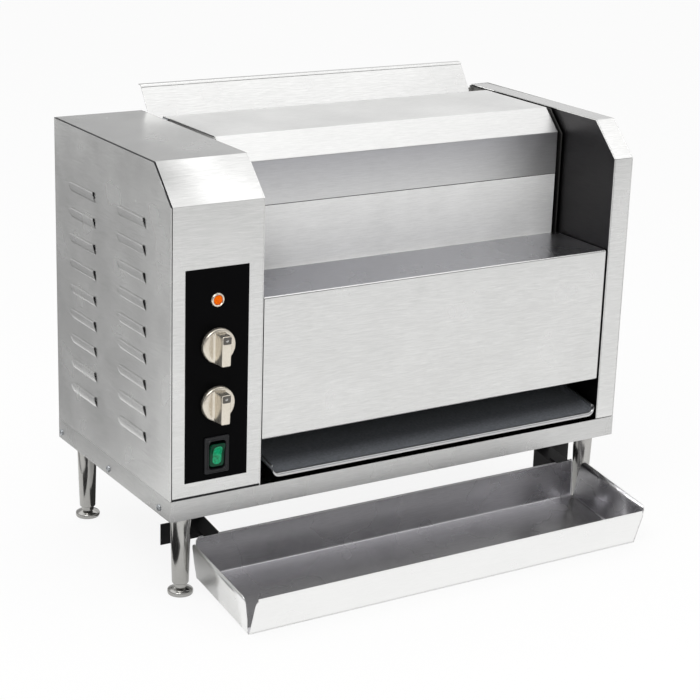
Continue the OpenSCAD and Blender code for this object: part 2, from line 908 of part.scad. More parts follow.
module lamp_lens() {
    color("#e8860c") seat() {
        bar_y(-panel_t - 2.5, 11.9, control_x, lamp_z, lens_r);
    }
}

// Control body behind the front sheet, with its threaded bush through the sheet
module control_body(z, size, depth) {
    seat() difference() {
        union() {
            translate([control_x - size / 2, sheet, z - size / 2]) cube([size, depth, size]);
            bar_y(-panel_t, sheet + 1, control_x, z, bush_r);
        }
        bar_y(-2, sheet + depth - 4, control_x, z, knob_shaft_r + run_gap);
    }
}

module thermostat() { color("#dedbd2") control_body(heat_z, 40, 34); }

module speed_control() { color("#35536e") control_body(speed_z, 30, 24); }

// Round skirt with a bar-shaped grip, and a square notch for the pointer at the grip's upper end
module knob(z) {
    back = -panel_t - knob_gap;
    front = back - skirt_t;
    tip = front - grip_h;
    foot = grip_w / 2 + grip_flare;
    color("#cfc9bd") seat() difference() {
        union() {
            bar_y(front, back, control_x, z, knob_r);
            translate([control_x, 0, z - grip_low]) linear_extrude(grip_low + grip_top) polygon([
                [-foot, front + 1], [-grip_w / 2, tip], [grip_w / 2, tip], [foot, front + 1]
            ]);
            bar_y(front, 18, control_x, z, knob_shaft_r);
        }
        translate([control_x - notch / 2, tip - 1, z + grip_top - notch_edge - notch])
            cube([notch, notch_depth + 1, notch]);
    }
}

module temperature_knob() { knob(heat_z); }

module speed_knob() { knob(speed_z); }

module switch_body() {
    depth = 30;
    lip_x = control_x - switch_w / 2;
    box_w = pocket_w + 3.6;
    box_h = pocket_h + 3.6;
    color("#1c1c1e") seat() difference() {
        union() {
            translate([lip_x, -panel_t - switch_lip, switch_z - switch_h / 2])
                cube([switch_w, switch_lip, switch_h]);
            translate([control_x - box_w / 2, -panel_t - 1, switch_z - box_h / 2])
                cube([box_w, depth, box_h]);
        }
        translate([control_x - pocket_w / 2, -10, switch_z - pocket_h / 2])
            cube([pocket_w, 24, pocket_h]);
        bar_x(control_x - 11.4, control_x + 11.4, pivot_y, switch_z, pivot_r + run_gap);
    }
}

module switch_rocker() {
    color("#0d7a43") seat() {
        translate([0, pivot_y, switch_z]) rotate([rocker_tilt, 0, 0])
            along_x(control_x - rocker_w / 2, control_x + rocker_w / 2) intersection() {
                circle(rocker_r);
                polygon([[-8.5, 14], [-6.5, 0], [-8.5, -14], [4, -9], [4, 9]]);
            }
        bar_x(control_x - 11.2, control_x + 11.2, pivot_y, switch_z, pivot_r);
    }
}

module catch_tray() {
    hook = 14;
    color(steel) seat() {
        translate([tray_x, tray_front, tray_z]) rotate([tray_slope, 0, 0]) {
            cube([tray_w, tray_d, sheet]);
            rotate([tray_flare, 0, 0]) along_y(0, sheet) tab_plate(tray_w, tray_wall, 8);
            translate([0, tray_d, 0]) rotate([-tray_flare, 0, 0])
                along_y(-sheet, 0) tab_plate(tray_w, tray_wall, 8);
            rotate([0, -tray_flare, 0]) along_x(0, sheet) tab_plate(tray_d, tray_wall, 8);
            translate([tray_w, 0, 0]) rotate([0, tray_flare, 0])
                along_x(-sheet, 0) tab_plate(tray_d, tray_wall, 8);
        }
        for (x = [arm_x + hook_in, body_w - arm_x - arm_w + hook_in])
            translate([x, tray_back_y, tray_back_z]) rotate([tray_slope, 0, 0])
                translate([0, -sheet, -sheet]) cube([arm_w - 2 * hook_in, hook, sheet]);
    }
}

// Side view of a bracket's arm, sloped like the tray, to a depth under its top
module arm_side(depth) {
    back = [hang_y + arm_t, hang_z + arm_t * tan(tray_slope)];
    front = [arm_front, arm_front_z];
    polygon([front, back, back - [0, depth], front - [0, depth]]);
}

// Bent sheet under the base: the tray's hook rests on its arm, and a wing stands behind the leg
module tray_bracket() {
    difference() {
        union() {
            along_x(arm_x, arm_x + arm_w) arm_side(arm_t);
            along_x(arm_x + arm_w - arm_t, arm_x + arm_w) arm_side(arm_drop);
            translate([arm_x, hang_y, hang_z - arm_drop]) cube([arm_w, arm_t, arm_drop - hang_z]);
            translate([arm_x - wing_out, hang_y, hang_z - arm_drop])
                cube([wing_out + 1, arm_t, arm_drop]);
            translate([arm_x, hang_y, -arm_t]) cube([arm_w, bracket_flange, arm_t]);
        }
        for (y = bracket_screw_ys)
            translate([arm_x + arm_w / 2, y, -arm_t - 1])
                cylinder(h = arm_t + 2, r = screw_r + hole_gap);
    }
}

module tray_bracket_left() { color(dark) seat() tray_bracket(); }

module tray_bracket_right() {
    color(dark) seat() translate([body_w, 0, 0]) mirror([1, 0, 0]) tray_bracket();
}

module legs() {
    for (x = leg_xs, y = leg_ys) color("#d4d6d8") seat() translate([x, y, 0]) difference() {
        union() {
            rotate_extrude() polygon([
                [0, -leg_low], [leg_foot_r - 1, -leg_low], [leg_foot_r, -leg_low + 1],
                [leg_r, -6], [leg_r, -3], [leg_r + 1.3, -3], [leg_r + 1.3, 0], [0, 0]
            ]);
            translate([0, 0, -1]) cylinder(h = stud_len + 1, r = stud_r);
        }
        translate([0, 0, -leg_low - 1]) cylinder(h = stem_len + 3, r = stem_r + run_gap);
    }
}

module leg_nuts() {
    for (x = leg_xs, y = leg_ys) color(zinc) seat() translate([x, y, base_t]) difference() {
        cylinder(h = nut_h, r = 9.2, $fn = 6);
        translate([0, 0, -1]) cylinder(h = nut_h + 2, r = stud_r);
    }
}

// Levelling foot: a turned disc with a stem that runs up into the leg
module foot(x, y) {
    color("#d4d6d8") seat() translate([x, y, 0]) {
        rotate_extrude() polygon([
            [0, -leg_h], [foot_r - 2, -leg_h], [foot_r, -leg_h + 2],
            [foot_r, -leg_h + foot_h - 2.5], [foot_r - 2.5, -leg_h + foot_h],
            [stem_r, -leg_h + foot_h], [stem_r, -leg_low + stem_len], [0, -leg_low + stem_len]
        ]);
    }
}

module foot_front_left() { foot(leg_xs[0], leg_ys[0]); }

module foot_front_right() { foot(leg_xs[1], leg_ys[0]); }

module foot_rear_left() { foot(leg_xs[0], leg_ys[1]); }

module foot_rear_right() { foot(leg_xs[1], leg_ys[1]); }

// Pan-head screw along +X with its head at the origin's left
module screw(len) {
    rotate([0, 90, 0]) rotate_extrude() polygon([
        [0, -head_t], [head_r - 1.2, -head_t], [head_r, -head_t + 1.2], [head_r, 0],
        [screw_r, 0], [screw_r, len], [0, len]
    ]);
}

module side_screws() {
    for (y = side_screw_ys) color(zinc) seat() {
        translate([0, y, screw_z]) screw(7);
        translate([body_w, y, screw_z]) mirror([1, 0, 0]) screw(7);
    }
}

module rear_screws() {
    for (x = rear_screw_xs) color(zinc) seat()
        translate([x, body_d, screw_z]) rotate([0, 0, -90]) screw(7);
}

module bracket_screws() {
    for (x = [arm_x + arm_w / 2, body_w - arm_x - arm_w / 2], y = bracket_screw_ys)
        color(zinc) seat() translate([x, y, -arm_t]) rotate([0, -90, 0]) screw(9);
}

base_pan();
left_side_cover();
control_housing();
control_inner_wall();
right_end_cover();
right_inner_wall();
left_frame_plate();
right_frame_plate();
hood();
hood_rail();
upper_front_panel();
front_cover();
rear_panel();
bun_guide();
bun_chute();
chute_rails();
platen();
platen_mounts();
heaters();
heat_shield();
insulation();
conveyor_belt();
drive_shaft();
drive_wheels();
idler_shaft();
idler_wheels();
shaft_bushes();
belt_backing_plate();
gear_motor();
motor_bracket();
motor_sprocket();
shaft_sprocket();
drive_chain();
fan_frame();
fan_rotor();
terminal_block();
contactor();
drive_board();
cord_gland();
control_panel();
pilot_lamp();
lamp_lens();
thermostat();
speed_control();
temperature_knob();
speed_knob();
switch_body();
switch_rocker();
catch_tray();
tray_bracket_left();
tray_bracket_right();
legs();
leg_nuts();
foot_front_left();
foot_front_right();
foot_rear_left();
foot_rear_right();
side_screws();
rear_screws();
bracket_screws();
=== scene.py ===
import math

import bmesh
import bpy
from mathutils import Matrix, Vector
from mathutils.geometry import delaunay_2d_cdt


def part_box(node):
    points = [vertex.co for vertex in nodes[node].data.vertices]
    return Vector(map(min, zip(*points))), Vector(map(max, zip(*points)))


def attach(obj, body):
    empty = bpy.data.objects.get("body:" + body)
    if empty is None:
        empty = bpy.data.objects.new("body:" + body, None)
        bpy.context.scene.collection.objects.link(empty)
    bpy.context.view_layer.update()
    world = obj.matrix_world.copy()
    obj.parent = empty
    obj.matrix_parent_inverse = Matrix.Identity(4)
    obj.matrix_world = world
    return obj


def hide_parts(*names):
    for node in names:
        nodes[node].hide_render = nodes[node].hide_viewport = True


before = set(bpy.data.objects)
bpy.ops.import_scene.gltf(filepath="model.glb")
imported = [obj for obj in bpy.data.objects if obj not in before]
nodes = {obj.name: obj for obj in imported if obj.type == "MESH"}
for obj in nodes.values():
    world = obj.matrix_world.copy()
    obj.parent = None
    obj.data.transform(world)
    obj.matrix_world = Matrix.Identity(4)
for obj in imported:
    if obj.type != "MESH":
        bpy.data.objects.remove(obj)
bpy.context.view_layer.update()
scene = bpy.context.scene
mm = 0.001
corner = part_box("base_pan")[0]  # lower front left corner of the base, where the body's own sizes start


# A point of the body, in millimetres from that corner
def at(x, y, z):
    return corner + Vector((x, y, z)) * mm


def lin(hexColour):
    parts = [int(hexColour[i:i + 2], 16) / 255 for i in (1, 3, 5)]
    return [c / 12.92 if c <= 0.04045 else ((c + 0.055) / 1.055) ** 2.4 for c in parts] + [1.0]


# Inputs are a dictionary by socket, or a row of values in the order of the sockets
def addNode(tree, kind, inputs=(), **settings):
    node = tree.nodes.new(kind)
    for name, value in settings.items():
        setattr(node, name, value)
    for socket, value in inputs.items() if isinstance(inputs, dict) else enumerate(inputs):
        if isinstance(value, bpy.types.NodeSocket):
            tree.links.new(value, node.inputs[socket])
        else:
            node.inputs[socket].default_value = value
    return node


def emptyTree(holder):
    holder.use_nodes = True
    holder.node_tree.nodes.clear()
    return holder.node_tree


# Camera: solved from the photograph's edges, 700 x 700, no shift
viewpoint = {
    "place": (-1.2088, -1.88697, 0.9534),
    "forward": (0.50731, 0.80519, -0.30709),
    "up": (0.13584, 0.27718, 0.95117),
    "lens": 98.225,
    "sensor": 36,
    "clipEnd": 60,
}
camera = bpy.data.objects.new("camera", bpy.data.cameras.new("camera"))
scene.collection.objects.link(camera)
scene.camera = camera
camera.data.lens = viewpoint["lens"]
camera.data.sensor_width = viewpoint["sensor"]
camera.data.clip_end = viewpoint["clipEnd"]
forward = Vector(viewpoint["forward"]).normalized()
right = forward.cross(Vector(viewpoint["up"])).normalized()
turn = Matrix((right, right.cross(forward), -forward)).transposed()
camera.matrix_world = Matrix.Translation(viewpoint["place"]) @ turn.to_4x4()
print("camera set")

# Studio: white floor, bright ceiling, a dim front that is darkest round the camera, paler walls behind.
# A fade runs from a place to a place along an axis, and then come its levels there.
studio = {
    "floorSize": 40,
    "floor": "#f4f4f3",
    "floorGlow": 0.88,  # as the camera sees it
    "floorMirrored": (-0.4, -0.95, 0.42, 0.84),  # as metal shows it, along y
    "fades": {
        "front": ("X", "LINEAR", 0.3, 0.64, 0.30, 0.90),
        "frontHigh": ("Z", "LINEAR", 0.05, 0.35, 1, 0.4),  # times the front
        "walls": ("X", "SMOOTHSTEP", 0.35, 0.62, 0.48, 0.80),
        "behind": ("Y", "SMOOTHSTEP", -0.35, 0.1, 0, 1),  # from the front to the walls
        "ceilingEdge": ("Y", "LINEAR", -0.58, -0.42, 0.77, 0.60),  # height where the ceiling starts
        "ceiling": ("Z", "LINEAR", 0.9, 0.97, 1.26, 0.25),  # dim straight overhead
    },
    "ceilingSoft": (-0.05, 0.05, 0, 1),  # across the ceiling's edge
    "backdrop": 0.98,
    "cardHeight": 0.002,
    "cardLayer": 0.0002,
}
cards = {
    "grey": {"level": 0.4, "outline": [(-0.42, 0.17), (-0.42, 2.8), (-2.1, 2.8)]},
    "black": {"level": 0.03, "outline": [
        (-1.8, -1.15), (-0.75, -1.15), (-0.6, -1.8), (-0.6, -2.5), (-1.8, -2.5)]},
    "leg": {"level": 0.04, "outline": [(-0.66, -0.2), (-0.35, -0.2), (-0.35, 0.02), (-0.66, 0.02)]},
    "rearLeg": {"level": 0.06, "outline": [(-0.42, 0.02), (-0.33, 0.02), (-0.33, 0.17), (-0.42, 0.17)]},
    "under": {"level": 0.05, "outline": [(-0.285, 0.12), (0.2, 0.12), (0.2, 0.3), (-0.285, 0.3)]},
    "far": {"level": 0.45, "outline": [(-0.6, -1.8), (2.4, -1.8), (2.6, -2.4), (-0.6, -2.4)]},
    "beside": {"level": 0.08, "outline": [(-0.46, 0.8), (-0.31, 0.8), (-0.28, 2.2), (-0.46, 2.2)]},
    "knob": {"level": 1.4, "outline": [(-1.4, -0.78), (-0.85, -0.78), (-0.85, -0.34), (-1.4, -0.34)]},
    "white": {"level": 1.05, "outline": [(-0.6, -0.37), (0.6, -0.37), (0.6, -0.2), (-0.6, -0.2)]},
}
softboxes = {
    "key": {"place": (-1.1, -0.9, 1.9), "target": (0, 0, 0.4), "size": (1.2, 0.9),
            "power": 14, "mirrored": True},
    "strip": {"place": (0.84, -0.6, 1.69), "target": (0.84, 0.2, 0.53), "size": (1.2, 0.4),
              "power": 0.8, "mirrored": True},
    "overhead": {"place": (0, 0.35, 2.4), "target": (0, 0.35, 0), "size": (1.6, 1.6),
                 "power": 6, "mirrored": True},
    "fill": {"place": (0.6, -2.0, 1.2), "target": (0, 0, 0.35), "size": (1, 1),
             "power": 7, "mirrored": False},
}
scene.view_settings.view_transform = "Standard"
floorMaterial = bpy.data.materials.new("studio floor")
floorTree = emptyTree(floorMaterial)
floorPaint = addNode(floorTree, "ShaderNodeBsdfDiffuse", {"Color": lin(studio["floor"])})
floorWhite = addNode(floorTree, "ShaderNodeEmission", {"Strength": 1.0})
rays = addNode(floorTree, "ShaderNodeLightPath")
seen = addNode(floorTree, "ShaderNodeMath", (
    rays.outputs["Is Camera Ray"], rays.outputs["Is Transmission Ray"]), operation="MAXIMUM")
glow = addNode(floorTree, "ShaderNodeMath", (seen.outputs[0], studio["floorGlow"]), operation="MULTIPLY")
floorSpot = addNode(floorTree, "ShaderNodeNewGeometry")
floorPlace = addNode(floorTree, "ShaderNodeSeparateXYZ", [floorSpot.outputs["Position"]])
ahead = addNode(floorTree, "ShaderNodeMapRange", (floorPlace.outputs["Y"], *studio["floorMirrored"]))
mirrored = addNode(floorTree, "ShaderNodeMath", (
    rays.outputs["Is Glossy Ray"], ahead.outputs[0]), operation="MULTIPLY")
white = addNode(floorTree, "ShaderNodeMath", (glow.outputs[0], mirrored.outputs[0]), operation="MAXIMUM")
floorLook = addNode(floorTree, "ShaderNodeMixShader", (
    white.outputs[0], floorPaint.outputs[0], floorWhite.outputs[0]))
addNode(floorTree, "ShaderNodeOutputMaterial", [floorLook.outputs[0]])


def stageSheet(name, outline, height, material):
    mesh = bpy.data.meshes.new(name)
    mesh.from_pydata([(x, y, height) for x, y in outline], [], [list(range(len(outline)))])
    mesh.materials.append(material)
    sheet = bpy.data.objects.new(name, mesh)
    scene.collection.objects.link(sheet)
    return sheet


half = studio["floorSize"] / 2
stageSheet("floor", [(-half, -half), (half, -half), (half, half), (-half, half)], 0, floorMaterial)

# Cards on the floor that only the metal mirrors: black by the camera, both left legs, under the rear and
# beside the left side, dim further off, grey to the left, white by the tray and for the knobs
for layer, (name, card) in enumerate(cards.items()):
    cardMaterial = bpy.data.materials.new(name + " card")
    cardTree = emptyTree(cardMaterial)
    cardTone = addNode(cardTree, "ShaderNodeEmission", {"Strength": card["level"]})
    addNode(cardTree, "ShaderNodeOutputMaterial", [cardTone.outputs[0]])
    cardHeight = studio["cardHeight"] + layer * studio["cardLayer"]
    cardSheet = stageSheet(name + "Card", card["outline"], cardHeight, cardMaterial)
    cardSheet.visible_camera = False
    cardSheet.visible_diffuse = False
    cardSheet.visible_shadow = False

# World: its level by direction, and a plain white backdrop for the camera
world = bpy.data.worlds.new("studio")
scene.world = world
sky = emptyTree(world)
skyPlace = addNode(sky, "ShaderNodeTexCoord")
way = addNode(sky, "ShaderNodeSeparateXYZ", [skyPlace.outputs["Generated"]])
fades = {}
for name, (axis, shape, *span) in studio["fades"].items():
    fade = addNode(sky, "ShaderNodeMapRange", (way.outputs[axis], *span), interpolation_type=shape)
    fades[name] = fade.outputs[0]
front = addNode(sky, "ShaderNodeMath", (fades["front"], fades["frontHigh"]), operation="MULTIPLY")
walls = addNode(sky, "ShaderNodeMix", {
    "Factor": fades["behind"], "A": front.outputs[0], "B": fades["walls"]}, data_type="FLOAT")
above = addNode(sky, "ShaderNodeMath", (way.outputs["Z"], fades["ceilingEdge"]), operation="SUBTRACT")
up = addNode(sky, "ShaderNodeMapRange", (
    above.outputs[0], *studio["ceilingSoft"]), interpolation_type="SMOOTHSTEP")
level = addNode(sky, "ShaderNodeMix", {
    "Factor": up.outputs[0], "A": walls.outputs[0], "B": fades["ceiling"]}, data_type="FLOAT")
skyRays = addNode(sky, "ShaderNodeLightPath")
seenSky = addNode(sky, "ShaderNodeMix", {
    "Factor": skyRays.outputs["Is Camera Ray"], "A": level.outputs[0], "B": studio["backdrop"]},
    data_type="FLOAT")
skyLight = addNode(sky, "ShaderNodeBackground", ((1, 1, 1, 1), seenSky.outputs[0]))
addNode(sky, "ShaderNodeOutputWorld", [skyLight.outputs[0]])

# Softboxes; the fill only lights matte surfaces and isn't mirrored
for name, softbox in softboxes.items():
    light = bpy.data.lights.new(name, "AREA")
    light.shape = "RECTANGLE"
    light.size, light.size_y = softbox["size"]
    light.energy = softbox["power"]
    lightObject = bpy.data.objects.new(name, light)
    scene.collection.objects.link(lightObject)
    lightObject.location = softbox["place"]
    lightObject.visible_glossy = softbox["mirrored"]
    aim = Vector(softbox["target"]) - Vector(softbox["place"])
    lightObject.rotation_euler = aim.to_track_quat("-Z", "Y").to_euler()
print("studio lit")

# What both kinds of finish share; patternRange is where a noise counts as its lowest and its highest
patternRange = (0.3, 0.7)
brushing = {"cloud": 60, "cloudShare": 0.3, "sideways": 0.6, "dullSpread": 0.03, "relief": 0.2}
moulding = {"dullSpread": 0.04, "relief": 0.1}


def startMaterial(name, metallic):
    material = bpy.data.materials.new(name)
    material.use_nodes = True
    tree = material.node_tree
    tree.nodes["Principled BSDF"].inputs["Metallic"].default_value = metallic
    return material, tree, addNode(tree, "ShaderNodeTexCoord")


# Tone between two colours, roughness about a middle value, and relief, each from a pattern
def dressShader(tree, tonePattern, colours, dullPattern, dullRange, reliefPattern, reliefSize):
    shader = tree.nodes["Principled BSDF"]
    tone = addNode(tree, "ShaderNodeValToRGB", [tonePattern])
    for stop, position, colour in zip(tone.color_ramp.elements, patternRange, colours):
        stop.position = position
        stop.color = lin(colour)
    dull = addNode(tree, "ShaderNodeMapRange", (dullPattern, *patternRange, *dullRange))
    relief = addNode(tree, "ShaderNodeBump", {
        "Height": reliefPattern, "Strength": reliefSize[0], "Distance": reliefSize[1] * mm})
    tree.links.new(tone.outputs[0], shader.inputs["Base Color"])
    tree.links.new(dull.outputs[0], shader.inputs["Roughness"])
    tree.links.new(relief.outputs[0], shader.inputs["Normal"])
    return tone


# Brushed or ground metal: long scratches blur what it mirrors, along x, or along y on the side faces.
# Real scratches are near 0.1 mm apart; they are drawn 1 mm apart and 16 mm long, so that they show.
# Painted shade, passed as heat: it darkens the tone along an axis of the frame, from its plain end to its
# shaded end, both in metres.
def brushedSteel(name, light, dark, roughness=0.25, spacing=1, length=16, bump=0.03, metallic=1.0, heat=None):
    material, tree, place = startMaterial(name, metallic)
    across = 1 / (spacing * mm)
    along = 1 / (length * mm)
    alongX = addNode(tree, "ShaderNodeMapping", {
        "Vector": place.outputs["Object"], "Scale": (along, across, across)})
    alongY = addNode(tree, "ShaderNodeMapping", {
        "Vector": place.outputs["Object"], "Scale": (across, along, across)})
    facing = addNode(tree, "ShaderNodeSeparateXYZ", [place.outputs["Normal"]])
    sideways = addNode(tree, "ShaderNodeMath", [facing.outputs["X"]], operation="ABSOLUTE")
    isSide = addNode(tree, "ShaderNodeMath", (
        sideways.outputs[0], brushing["sideways"]), operation="GREATER_THAN")
    grain = addNode(tree, "ShaderNodeMix", {
        "Factor": isSide.outputs[0], 4: alongX.outputs[0], 5: alongY.outputs[0]}, data_type="VECTOR")
    scratch = addNode(tree, "ShaderNodeTexNoise", {
        "Vector": grain.outputs[1], "Scale": 1, "Detail": 5, "Roughness": 0.75})
    cloud = addNode(tree, "ShaderNodeTexNoise", {
        "Vector": place.outputs["Object"], "Scale": 1 / (brushing["cloud"] * mm), "Detail": 2})
    mottle = addNode(tree, "ShaderNodeMix", {
        "Factor": brushing["cloudShare"], "A": scratch.outputs["Fac"], "B": cloud.outputs["Fac"]},
        data_type="FLOAT")
    dullRange = (roughness - brushing["dullSpread"], roughness + brushing["dullSpread"])
    tone = dressShader(tree, mottle.outputs[0], (dark, light), cloud.outputs["Fac"], dullRange,
                       scratch.outputs["Fac"], (bump, brushing["relief"]))
    # Painted shade: the tone is multiplied darker along the given axis
    if heat:
        where = addNode(tree, "ShaderNodeSeparateXYZ", [place.outputs["Object"]])
        shadeShare = addNode(tree, "ShaderNodeMapRange", (
            where.outputs[heat["axis"]], heat["plainEnd"], heat["shadedEnd"], 0, 1))
        shadedTone = addNode(tree, "ShaderNodeMix", {
            0: shadeShare.outputs[0], 6: tone.outputs[0], 7: lin(heat["shade"])},
            data_type="RGBA", blend_type="MULTIPLY")
        tree.links.new(shadedTone.outputs[2], tree.nodes["Principled BSDF"].inputs["Base Color"])
    return material


# Moulded, cast or painted surfaces: an even colour with a faint mottle and a fine grain in the gloss.
# The grain of a real one is finer; it is drawn near 1 mm, so that it shows.
def mouldedFinish(name, light, dark, roughness, grainSize=0.8, bump=0.1, metallic=0.0, gloss=0.5, speckle=25):
    material, tree, place = startMaterial(name, metallic)
    tree.nodes["Principled BSDF"].inputs["Specular IOR Level"].default_value = gloss
    mottle = addNode(tree, "ShaderNodeTexNoise", {
        "Vector": place.outputs["Object"], "Scale": 1 / (speckle * mm), "Detail": 3})
    grain = addNode(tree, "ShaderNodeTexNoise", {
        "Vector": place.outputs["Object"], "Scale": 1 / (grainSize * mm), "Detail": 2})
    dullRange = (roughness - moulding["dullSpread"], roughness + moulding["dullSpread"])
    dressShader(tree, mottle.outputs["Fac"], (dark, light), grain.outputs["Fac"], dullRange,
                grain.outputs["Fac"], (bump, moulding["relief"]))
    return material


# Stainless sheet, belt ground along its length: a pale grey that blurs what it mirrors
stainless = brushedSteel("brushed stainless", "#e6e6e5", "#cdcdcc")
# Stainless sheet, satin ground: broad soft lights with no clear mirror image
satinSteel = brushedSteel("satin stainless", "#f0f0ef", "#d9d9d8", roughness=0.45, metallic=0.88)
# Stainless sheet, bead blasted: scatters nearly all its light, so it stays even and pale from any side
matteSteel = brushedSteel("matte stainless", "#fafaf9", "#e0e0df", roughness=0.5, metallic=0.1)
# Stainless sheet, ground, a shade greyer than the covers: painted shade for the shadowed floor it mirrors
shadedBaseSteel = brushedSteel("base stainless with painted shade", "#d4d4d3", "#bdbdbc", roughness=0.28)
# Satin stainless with painted shade: it greys towards the bend, standing in for the darker reflection there
paintedShadeSatin = brushedSteel("painted-shade satin", "#ececec", "#d6d6d6", roughness=0.45, metallic=0.88,
                           heat={"axis": "Z", "plainEnd": 0.428, "shadedEnd": 0.481, "shade": "#d2d2d6"})
# Ground stainless with painted shade for the cover's top, darker than its face: a bluish grey, deeper to the
# left
paintedShadeSteel = brushedSteel("painted-shade stainless", "#d6d6da", "#bfbfc3", roughness=0.28,
                           heat={"axis": "X", "plainEnd": 0.28, "shadedEnd": -0.2, "shade": "#cfcfd3"})
# Stainless sheet with painted light, for the tray's outside: nearly white, with little grain
trayLitSteel = brushedSteel("tray stainless with painted light", "#f0f0ef", "#e8e8e7", roughness=0.3)
# Stainless sheet with painted shade, for the tray's inside: a greyer tone, streaked
trayShadedSteel = brushedSteel("tray stainless with painted shade", "#d0cfd2", "#b5b4b7", roughness=0.27)
# Steel sheet at the chute's edge: a light line round the dark chute
lipSteel = brushedSteel("light chute lip", "#d6d6d6", "#c2c3c4", roughness=0.3)
# Steel sheet of the inner wall, ground: nearly black, with a faint sheen
darkSteel = brushedSteel("dark steel wall", "#454445", "#3d3c3d", roughness=0.36)
# Steel plate darkened as painted shade, for the shadowed gap at the hood's ends: dull dark grey, with coarse
# marks of the rolling
shadeFramePlate = brushedSteel("frame steel with painted shade", "#5c5b59", "#504f4e", roughness=0.45, spacing=3, length=12)
# Steel, zinc plated in a barrel: a light bluish grey, half dull
zincPlate = brushedSteel("zinc plate", "#c3c6c9", "#aeb2b6", roughness=0.4, spacing=3, length=12)
# Steel tube, chromed over a polish: a smooth, dark mirror with no grain in relief
chrome = brushedSteel("chromed leg", "#b4b3b0", "#adaca9", roughness=0.17, spacing=6, length=20, bump=0.0)
# Aluminium, die cast: an even grey with a dull, pebbled gloss
castMetal = mouldedFinish("cast aluminium", "#a7aaad", "#95989b", 0.5, metallic=1.0)
# Sprayed and baked non-stick coating: slate grey with a fine fleck
coatedSheet = mouldedFinish("non-stick chute", "#717479", "#5d6064", 0.42, grainSize=1.2, bump=0.4, speckle=3)
# Powder coat on steel, baked: black with a low sheen
blackPaint = mouldedFinish("black bracket paint", "#242325", "#1c1b1d", 0.5, gloss=0.2)
# Polyester film, screen printed on its back: deep black that mirrors next to nothing
blackPanel = mouldedFinish("black control film", "#060607", "#050506", 0.35, bump=0.02, gloss=0.03)
# Nylon, moulded in a lightly etched tool: charcoal with soft lights on its edges
blackPlastic = mouldedFinish("black plastic", "#1b1b1e", "#161619", 0.4, gloss=0.3)
# Zinc casting, nickel plated and satin polished: a warm, soft silver
nickel = mouldedFinish("satin nickel", "#e2dbce", "#d9d1c3", 0.24, metallic=0.82, bump=0.03)
# Polycarbonate, moulded and tinted orange: strong colour, with fine brighter flecks
amber = mouldedFinish("amber lens", "#ff7a00", "#e85400", 0.3, gloss=0.06, speckle=1.4)
# Polycarbonate, moulded and tinted green, unlit: a deep glossy bottle green
green = mouldedFinish("green lens", "#02452d", "#013421", 0.15, gloss=0.2)
# The same plastic in the rocker's window: a bright, uneven green
greenWindow = mouldedFinish("green window", "#14bd82", "#077a4e", 0.12, gloss=0.3, speckle=3)
# Enamel paint, wiped into the notch: a dull warm grey
notchGrey = mouldedFinish("pointer notch", "#5e5a54", "#514d48", 0.5)
# Thermoset resin, pressed: a dull cream
cream = mouldedFinish("cream plastic", "#ddd6c5", "#d2cab8", 0.5)
# Rubber-faced belting, vulcanised: a dull dark grey with no lights
rubber = mouldedFinish("belt rubber", "#38393b", "#303133", 0.7)
# Mineral wool, felted into a blanket: soft, matte and uneven, off-white
blanket = mouldedFinish("mineral blanket", "#ddd6c8", "#c9c1b1", 0.95, grainSize=2, bump=0.6)
# Stove enamel on a cast case: mid grey with a slight shine
motorPaint = mouldedFinish("motor paint", "#55585c", "#4d5054", 0.4)
# Glass-fibre laminate under lacquer: a flat, slightly shiny green
boardGreen = mouldedFinish("circuit board", "#2f6a3c", "#285b34", 0.4)
# Polyester resin, moulded: a dull grey-blue
bluePlastic = mouldedFinish("blue plastic", "#36566f", "#2f4c63", 0.5)
# Bronze powder, pressed and sintered, full of oil: a brownish, half-dull metal
bronze = mouldedFinish("sintered bronze", "#b0823f", "#9d7236", 0.45, metallic=1.0)
# Hardened steel, tumbled and oiled: a dark grey metal with broken lights
steelDark = mouldedFinish("oiled chain steel", "#5a5a5b", "#4b4b4c", 0.4, metallic=1.0)
print("materials made")

# Driving sizes of the body in mm, the same as the solids'
body = {
    "width": 635, "depth": 311, "height": 406, "sheet": 1.2, "rail": 25, "chamfer": 42,
    "control": 115, "controlMiddle": 57, "panel": -0.5,
    "innerLeft": 119, "innerRight": 603, "legHeight": 102,
}
controlX = body["controlMiddle"]
panelY = body["panel"]  # front of the control panel
top = body["height"]
mitre = 0.414  # tangent of half the slope's 45 degrees


def closeMesh(name, bm):
    bmesh.ops.remove_doubles(bm, verts=bm.verts, dist=0.001 * mm)
    bmesh.ops.recalc_face_normals(bm, faces=bm.faces)
    mesh = bpy.data.meshes.new(name)
    bm.to_mesh(mesh)
    bm.free()
    return mesh


# A piece of the scene, from a mesh or from a bmesh that isn't closed yet
def makePiece(name, shape, finish, bodyName, stands=(), sharp=32):
    mesh = closeMesh(name, shape) if isinstance(shape, bmesh.types.BMesh) else shape
    if not mesh.materials:
        mesh.materials.append(finish)
    mesh.polygons.foreach_set("use_smooth", [True] * len(mesh.polygons))
    mesh.set_sharp_from_angle(angle=math.radians(sharp))
    piece = bpy.data.objects.new(name, mesh)
    scene.collection.objects.link(piece)
    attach(piece, bodyName)
    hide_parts(*stands)
    return piece


def bevelEdges(piece, width, angle):
    edge = piece.modifiers.new("edge", "BEVEL")
    edge.width = width * mm
    edge.segments = 2
    edge.limit_method = "ANGLE"
    edge.angle_limit = math.radians(angle)


def softenEdges(piece, width, angle):
    bevelEdges(piece, width, angle)
    even = piece.modifiers.new("even", "WEIGHTED_NORMAL")
    even.keep_sharp = False


def makeSheet(name, shape, finish, bodyName, node, edge=0.25, angle=60):
    softenEdges(makePiece(name, shape, finish, bodyName, [node]), edge, angle)


# Gives a wall its thickness: to the outside of the faces with a side of 1, to the inside with -1
def thicken(piece, thick, side):
    skin = piece.modifiers.new("wall", "SOLIDIFY")
    skin.thickness = thick * mm
    skin.offset = side
    return skin
